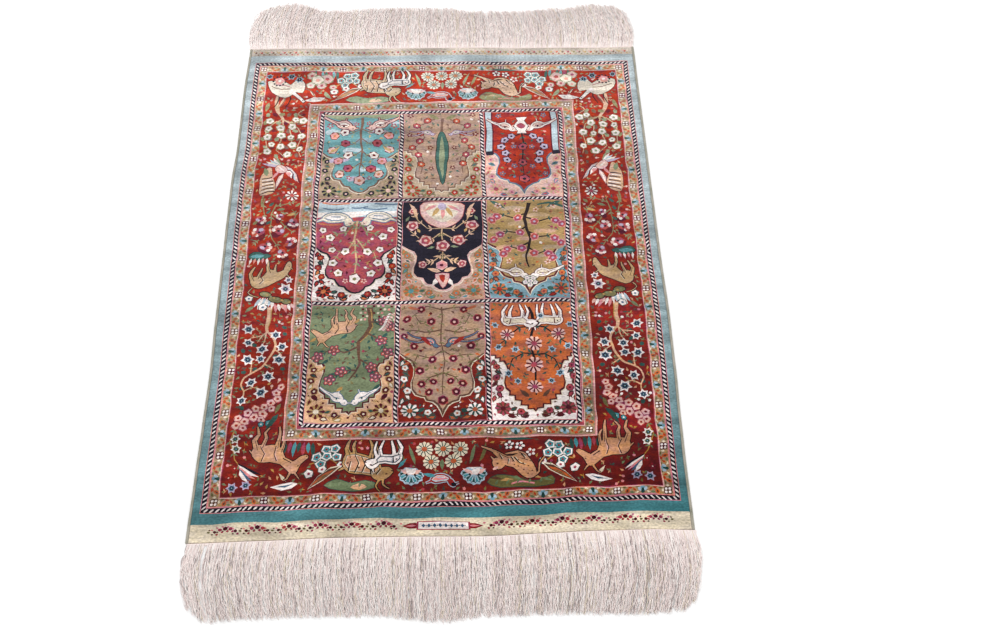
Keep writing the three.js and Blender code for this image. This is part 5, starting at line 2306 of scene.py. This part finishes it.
@dataclass
class Binding:
    """The overcast silk along one long edge: a low bead, and the turns of yarn wound round it.

    Attributes:
        rug: the cloth that it edges.
        sign: -1 for the left edge and 1 for the right one.
        gap: how far it stands off the cloth.
        cuts: how many pieces the bead is lofted in.
        foot: how far the bead's underside is off the floor.
        turns: how many turns of yarn there are.
        turn_margin: how far from the cloth's ends they begin.
        turn_out: how far outside the binding's middle line they stand.
        turn_foot: how far their two ends are off the floor.
        turn_less: how much less than the binding's height they rise.
        half_turn: half a turn's width.
        lean: how far a turn leans along the rug.
        thread: how thick the yarn is.
        width: the binding's width.
        pile_height: its height beside the pile.
        kilim_height: its height beside the flat-woven bands.
        section: the bead's outline: out from its inner foot, and up as a share of its height.
    """

    rug: RugCloth
    sign: int
    gap: float = 0.3
    cuts: int = 90
    foot: float = 0.05
    turns: int = 680
    turn_margin: float = 1.0
    turn_out: float = 0.02
    turn_foot: float = 0.32
    turn_less: float = 0.75
    half_turn: float = 1.28
    lean: float = 1.1
    thread: float = 0.66
    width: float = 3.2
    pile_height: float = 3.0
    kilim_height: float = 2.3
    section: tuple[Point, ...] = ((0.0, 0.0), (3.0, 0.0), (3.0, 0.42), (2.4, 0.8), (1.4, 0.93), (0.2, 0.8))

    def place(self, y: float) -> tuple[float, float, float]:
        """Where the binding's inner foot stands, and how high the binding is there."""
        edge = self.rug.side(self.sign, y) + self.gap
        x = self.sign * edge
        end = self.rug.length / 2
        into_pile = min(y + end - self.rug.near_kilim, end - self.rug.far_kilim - y)
        share = eased(0, self.rug.shoulder, into_pile + self.rug.shoulder)
        height = self.kilim_height + share * (self.pile_height - self.kilim_height)
        return x, y + self.rug.end_shift(x, y), height

    def build(self, yarn: bpy.types.Material) -> bpy.types.Object:
        """Lofts the bead and winds the yarn round it.

        Args:
            yarn: the yarn's finish.

        Returns:
            The binding.
        """
        end = self.rug.length / 2
        rings = []
        for k in range(self.cuts + 1):
            x, y, height = self.place(-end + k * 2 * end / self.cuts)
            thick = height - self.foot
            ring = [(x + self.sign * out, y, self.foot + up * thick) for out, up in self.section]
            rings.append(ring[::-1] if self.sign < 0 else ring)
        bead = lofted("bead", rings, yarn)
        roots: dict[str, list[float]] = {"x": [], "y": [], "z": [], "tall": []}
        margin = self.turn_margin
        for k in range(self.turns):
            x, y, height = self.place(-end + margin + (2 * end - 2 * margin) * (k + 0.5) / self.turns)
            roots["x"].append((x + self.sign * (self.width / 2 + self.turn_out)) * MM)
            roots["y"].append(y * MM)
            roots["z"].append(self.turn_foot * MM)
            roots["tall"].append((height - self.turn_less) * MM)
        turns = self.recipe().make("turns", roots, yarn)
        side = "left" if self.sign < 0 else "right"
        return joined(f"binding_{side}_yarn", [bead, turns])

    def recipe(self) -> Recipe:
        """The tree that winds one turn on each root: a half loop over the bead, leaning along the rug."""
        recipe = Recipe(
            "overcast_turns",
            {"Points": 8, "Half Width": self.half_turn * MM, "Lean": self.sign * self.lean * MM,
             "Thickness": self.thread * MM},
        )
        nodes = recipe.nodes
        lines, share = recipe.shapes(recipe.given["Points"])
        angle = nodes.times(share, math.pi)
        across = nodes.times(nodes.math("COSINE", angle), recipe.given["Half Width"])
        along = nodes.times(nodes.minus(share, 0.5), recipe.given["Lean"])
        up = nodes.times(nodes.math("POWER", nodes.math("SINE", angle), 0.6), recipe.attribute("tall"))
        radius = nodes.times(recipe.given["Thickness"], 0.5)
        recipe.finish(lines, {0: across, 1: along, 2: up}, radius, 5)
        return recipe


@dataclass
class Fringe:
    """One end's warp fringe: the locking strip with its stitches, and the loose strands in four tones, one
    of them painted shade.

    Attributes:
        rug: the cloth that it belongs to.
        sign: -1 for the near end and 1 for the far one.
        gap: how far the strip stands off the cloth.
        half_width: how far the strip reaches to each side.
        strip_depth: how wide the strip is.
        strip_foot: how far its underside is off the floor.
        strip_side: how high its sides are.
        strip_height: how high its middle is.
        strip_cuts: how many pieces it is lofted in.
        stitch_count: how many stitches lie over it.
        stitch_margin: how far from its ends they begin.
        stitch_foot: how far their ends are off the floor.
        stitch_rise: how far their middles rise over that.
        strands: how many loose strands there are.
        strand_margin: how far from the strip's ends they begin.
        root_height: the lowest and the highest root.
        bulge: how far the outermost strands bow outwards.
        drawn_in: how far the tips lean back, as a share of their place across.
        stray: how unevenly they lean.
        scatter: how unevenly they reach.
        shaded: the share of strands in painted shade, standing in for the shadow between strands, at the
            near and the far end.
        seeds: what makes each end's strands its own.
        parting: where the near fringe parts.
        half_parting: half the parting's width at the strip.
        reach: place across, then how far the near and the far fringe reach there.
    """

    rug: RugCloth
    sign: int
    gap: float = 0.3
    half_width: float = 271.3
    strip_depth: float = 3.0
    strip_foot: float = 0.05
    strip_side: float = 1.0
    strip_height: float = 1.3
    strip_cuts: int = 60
    stitch_count: int = 330
    stitch_margin: float = 1.0
    stitch_foot: float = 0.3
    stitch_rise: float = 0.95
    strands: int = 1330
    strand_margin: float = 0.8
    root_height: Point = (0.85, 1.3)
    bulge: float = 4.2
    drawn_in: float = 0.026
    stray: float = 2.2
    scatter: float = 5.0
    shaded: Point = (0.08, 0.03)
    seeds: tuple[int, int] = (19, 23)
    parting: float = -250.0
    half_parting: float = 1.6
    reach: tuple[tuple[float, float, float], ...] = (
        (-271, 74, 80), (-252, 90, 91), (-222, 88, 97), (-170, 88, 81), (-70, 90, 87), (0, 97, 86),
        (45, 91, 78), (110, 92, 79), (175, 95, 84), (225, 96, 93), (252, 93, 90), (271, 82, 80),
    )

    def edge(self, x: float) -> float:
        """Where the cloth's end lies at a place across."""
        end = self.sign * self.rug.length / 2
        return end + self.rug.end_shift(x, end)

    def strip(self, yarn: bpy.types.Material) -> bpy.types.Object:
        """Lofts the strip that locks the warps."""
        rings = []
        slope = 0.2
        for k in range(self.strip_cuts + 1):
            x = -self.half_width + 2 * k * self.half_width / self.strip_cuts
            start = self.edge(x) + self.sign * self.gap
            low, high = sorted((start, start + self.sign * self.strip_depth))
            places = (high, high - slope, (low + high) / 2, low + slope, low)
            heights = (self.strip_foot, self.strip_side, self.strip_height, self.strip_side, self.strip_foot)
            rings.append([(x, y, z) for y, z in zip(places, heights)])
        return lofted("locking_strip", rings, yarn)

    def stitches(self, yarn: bpy.types.Material) -> bpy.types.Object:
        """Lays slanting stitches over the strip."""
        roots: dict[str, list[float]] = {"x": [], "y": [], "z": []}
        half = self.half_width - self.stitch_margin
        for k in range(self.stitch_count):
            x = -half + (k + 0.5) * 2 * half / self.stitch_count
            roots["x"].append(x * MM)
            roots["y"].append((self.edge(x) + self.sign * (self.gap + self.strip_depth / 2)) * MM)
            roots["z"].append(self.stitch_foot * MM)
        recipe = Recipe(
            "locking_stitches",
            {"Points": 6, "Half Depth": 1.3 * MM, "Lean": 1.3 * MM, "Thickness": 0.9 * MM},
        )
        nodes = recipe.nodes
        lines, share = recipe.shapes(recipe.given["Points"])
        angle = nodes.times(share, math.pi)
        along = nodes.times(nodes.math("COSINE", angle), recipe.given["Half Depth"])
        across = nodes.times(nodes.minus(share, 0.5), recipe.given["Lean"])
        up = nodes.times(nodes.math("SINE", angle), self.stitch_rise * MM)
        recipe.finish(lines, {0: across, 1: along, 2: up}, nodes.times(recipe.given["Thickness"], 0.5), 4)
        return recipe.make("stitches", roots, yarn)

    def loose(self, yarns: Sequence[bpy.types.Material]) -> list[bpy.types.Object]:
        """Lays the loose strands, each tone as one mesh.

        Args:
            yarns: the tones' finishes, the commonest first.

        Returns:
            One object for each tone.
        """
        end = 0 if self.sign < 0 else 1
        chance = np.random.default_rng(self.seeds[end])
        recipe = self.strand_recipe()
        piles: list[dict[str, list[float]]] = [
            {key: [] for key in ("x", "y", "z", "reach", "lean", "swing", "phase")} for _ in yarns
        ]
        # how many of this end's strands take the painted shade
        shaded = self.shaded[end]
        for k in range(self.strands):
            share = (k + 0.5) / self.strands
            x = (2 * share - 1) * (self.half_width - self.strand_margin)
            if self.sign < 0 and abs(x - self.parting) < self.half_parting:
                continue
            full = from_table(self.reach, end + 1, x) - self.strip_depth / 2
            reach = full + self.scatter * chance.uniform(-1.0, 0.35)
            # each strand's tone, the last being the painted shade
            pile = piles[chance.choice(len(yarns), p=(0.6 - shaded, 0.32, 0.08, shaded))]
            pile["x"].append(x * MM)
            pile["y"].append((self.edge(x) + self.sign * self.strip_depth / 2) * MM)
            pile["z"].append(chance.uniform(*self.root_height) * MM)
            pile["reach"].append(self.sign * reach * MM)
            pile["lean"].append(-x * self.drawn_in * MM + chance.normal(0, self.stray) * MM)
            pile["swing"].append(x / self.half_width * self.bulge * MM)
            pile["phase"].append(chance.uniform(0, 900) + 0.04 * x)
        return [recipe.make("strands", pile, yarn) for pile, yarn in zip(piles, yarns)]

    def strand_recipe(self) -> Recipe:
        """The tree that grows one wavy strand on each root."""
        recipe = Recipe(
            "warp_strands",
            {"Points": 19, "Wave Width": 7.0 * MM, "Wave Turns": 7.5, "Rise": 5.0 * MM,
             "Root Thickness": 1.15 * MM, "Tip Thickness": 0.75 * MM},
        )
        nodes, given = recipe.nodes, recipe.given
        lines, share = recipe.shapes(given["Points"])
        reach = recipe.attribute("reach")
        phase = recipe.attribute("phase")
        spot = nodes.node("ShaderNodeCombineXYZ", {0: phase, 1: nodes.times(share, given["Wave Turns"])})
        waves = nodes.node(
            "ShaderNodeTexNoise", {"Vector": spot.outputs[0], "Scale": 1.0, "Detail": 1.0, "Roughness": 0.6}
        )
        parts = nodes.node("ShaderNodeSeparateXYZ", {0: waves.outputs["Color"]}).outputs
        frizz = nodes.plus(nodes.times(share, 0.7), 0.7)
        slack = nodes.times(nodes.math("MINIMUM", nodes.times(share, 6.0), 1.0), frizz)
        sway = nodes.times(nodes.minus(parts[0], 0.5), given["Wave Width"])
        bow = nodes.times(nodes.math("SINE", nodes.times(share, 3.6)), recipe.attribute("swing"))
        lean = nodes.times(nodes.times(share, share), recipe.attribute("lean"))
        across = nodes.plus(nodes.plus(bow, lean), nodes.times(sway, slack))
        lift = nodes.times(nodes.minus(parts[1], 0.42), given["Rise"])
        up = nodes.times(nodes.math("MAXIMUM", lift, -0.1 * MM), slack)
        thin = nodes.minus(given["Tip Thickness"], given["Root Thickness"])
        radius = nodes.times(nodes.plus(nodes.times(thin, share), given["Root Thickness"]), 0.5)
        recipe.finish(lines, {0: across, 1: nodes.times(share, reach), 2: up}, radius, 3)
        return recipe

    def build(self, yarns: Sequence[bpy.types.Material]) -> bpy.types.Object:
        """Makes the strip, its stitches and its strands as one piece.

        Args:
            yarns: the tones' finishes, the commonest first.

        Returns:
            The fringe.
        """
        side = "near" if self.sign < 0 else "far"
        parts = [self.strip(yarns[0]), self.stitches(yarns[0]), *self.loose(yarns)]
        return joined(f"fringe_{side}_yarn", parts)


@dataclass
class Studio:
    """The pale floor, the soft lights and the camera.

    Attributes:
        camera_mm: where the camera stands, in millimetres.
        camera_turn: how it is turned, in degrees.
        lens: its focal length, in millimetres.
        sensor: how wide its film is.
        floor_reach: how far the floor goes on every side, in metres.
        floor_shade: how pale the floor is.
        surround: how bright the sky is all round.
        lamps: for each soft light its name, its place and its width in metres, and its power in watts.
    """

    camera_mm: Spot = (32.0, -1003.0, 1247.0)
    camera_turn: Spot = (36.38, -0.54, -1.59)
    lens: float = 46.35
    sensor: float = 36.0
    floor_reach: float = 6.0
    floor_shade: float = 0.92
    surround: float = 0.75
    lamps: tuple[tuple[str, Spot, float, float], ...] = (
        ("window", (-1.2, 2.2, 2.4), 2.4, 60.0),
        ("fill", (1.8, -1.6, 2.6), 2.6, 35.0),
    )

    def camera(self) -> None:
        """Stands the camera where the rug was seen from."""
        data = bpy.data.cameras.new("camera")
        data.lens = self.lens
        data.sensor_width = self.sensor
        seen = placed("camera", data)
        seen.location = [v * MM for v in self.camera_mm]
        seen.rotation_euler = [math.radians(v) for v in self.camera_turn]
        bpy.context.scene.camera = seen

    def floor(self) -> None:
        """Lays a plain pale floor."""
        reach = self.floor_reach
        corners = [(-reach, -reach, 0), (reach, -reach, 0), (reach, reach, 0), (-reach, reach, 0)]
        mesh = meshed("floor", corners, [(0, 1, 2, 3)])
        made = bpy.data.materials.new("floor")
        made.use_nodes = True
        shader = made.node_tree.nodes["Principled BSDF"]
        shader.inputs["Base Color"].default_value = (*(self.floor_shade for _ in range(3)), 1)
        shader.inputs["Roughness"].default_value = 0.9
        mesh.materials.append(made)
        placed("floor", mesh)

    def lights(self) -> None:
        """Hangs two large soft lights and an even pale surround."""
        world = bpy.data.worlds.new("surround")
        world.use_nodes = True
        sky, strength = world.node_tree.nodes["Background"].inputs[:2]
        sky.default_value = (1, 1, 1, 1)
        strength.default_value = self.surround
        bpy.context.scene.world = world
        for name, spot, size, power in self.lamps:
            data = bpy.data.lights.new(name, "AREA")
            data.size = size
            data.energy = power
            lamp = placed(name, data)
            lamp.location = spot
            lamp.rotation_euler = (-Vector(spot)).to_track_quat("-Z", "Y").to_euler()

    def build(self) -> None:
        """Sets up all three, and shows colours as they are."""
        bpy.context.scene.view_settings.view_transform = "Standard"
        self.camera()
        self.floor()
        self.lights()


def report(piece: bpy.types.Object) -> None:
    """Reports a piece's size."""
    log.info("%s: %d faces", piece.name, len(piece.data.polygons))


def main() -> None:
    """Builds the studio and the rug, piece by piece."""
    logging.basicConfig(level=logging.INFO, format="%(name)s: %(message)s")
    Studio().build()
    rug = RugCloth()
    cloth = rug.build()
    cloth.data.materials.append(PileFinish().material())
    edging = CordFinish("binding_silk", Silk.KILIM.shades()[1], Silk.MOSS.shades()[0]).material()
    yarns = [YarnFinish(f"fringe_{tone.name.lower()}", tone).material() for tone in FringeTone]
    bindings = [Binding(rug, sign).build(edging) for sign in (-1, 1)]
    fringes = [Fringe(rug, sign).build(yarns) for sign in (-1, 1)]
    dressed = (
        (cloth, "woven_rug", "silk_pile"),
        (bindings[0], "binding_left", "binding_silk"),
        (bindings[1], "binding_right", "binding_silk"),
        (fringes[0], "fringe_near", "fringe_silk"),
        (fringes[1], "fringe_far", "fringe_silk"),
    )
    for piece, node, slot in dressed:
        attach(piece, "root")
        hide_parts(node)
        report(piece)


if __name__ == "__main__":
    main()
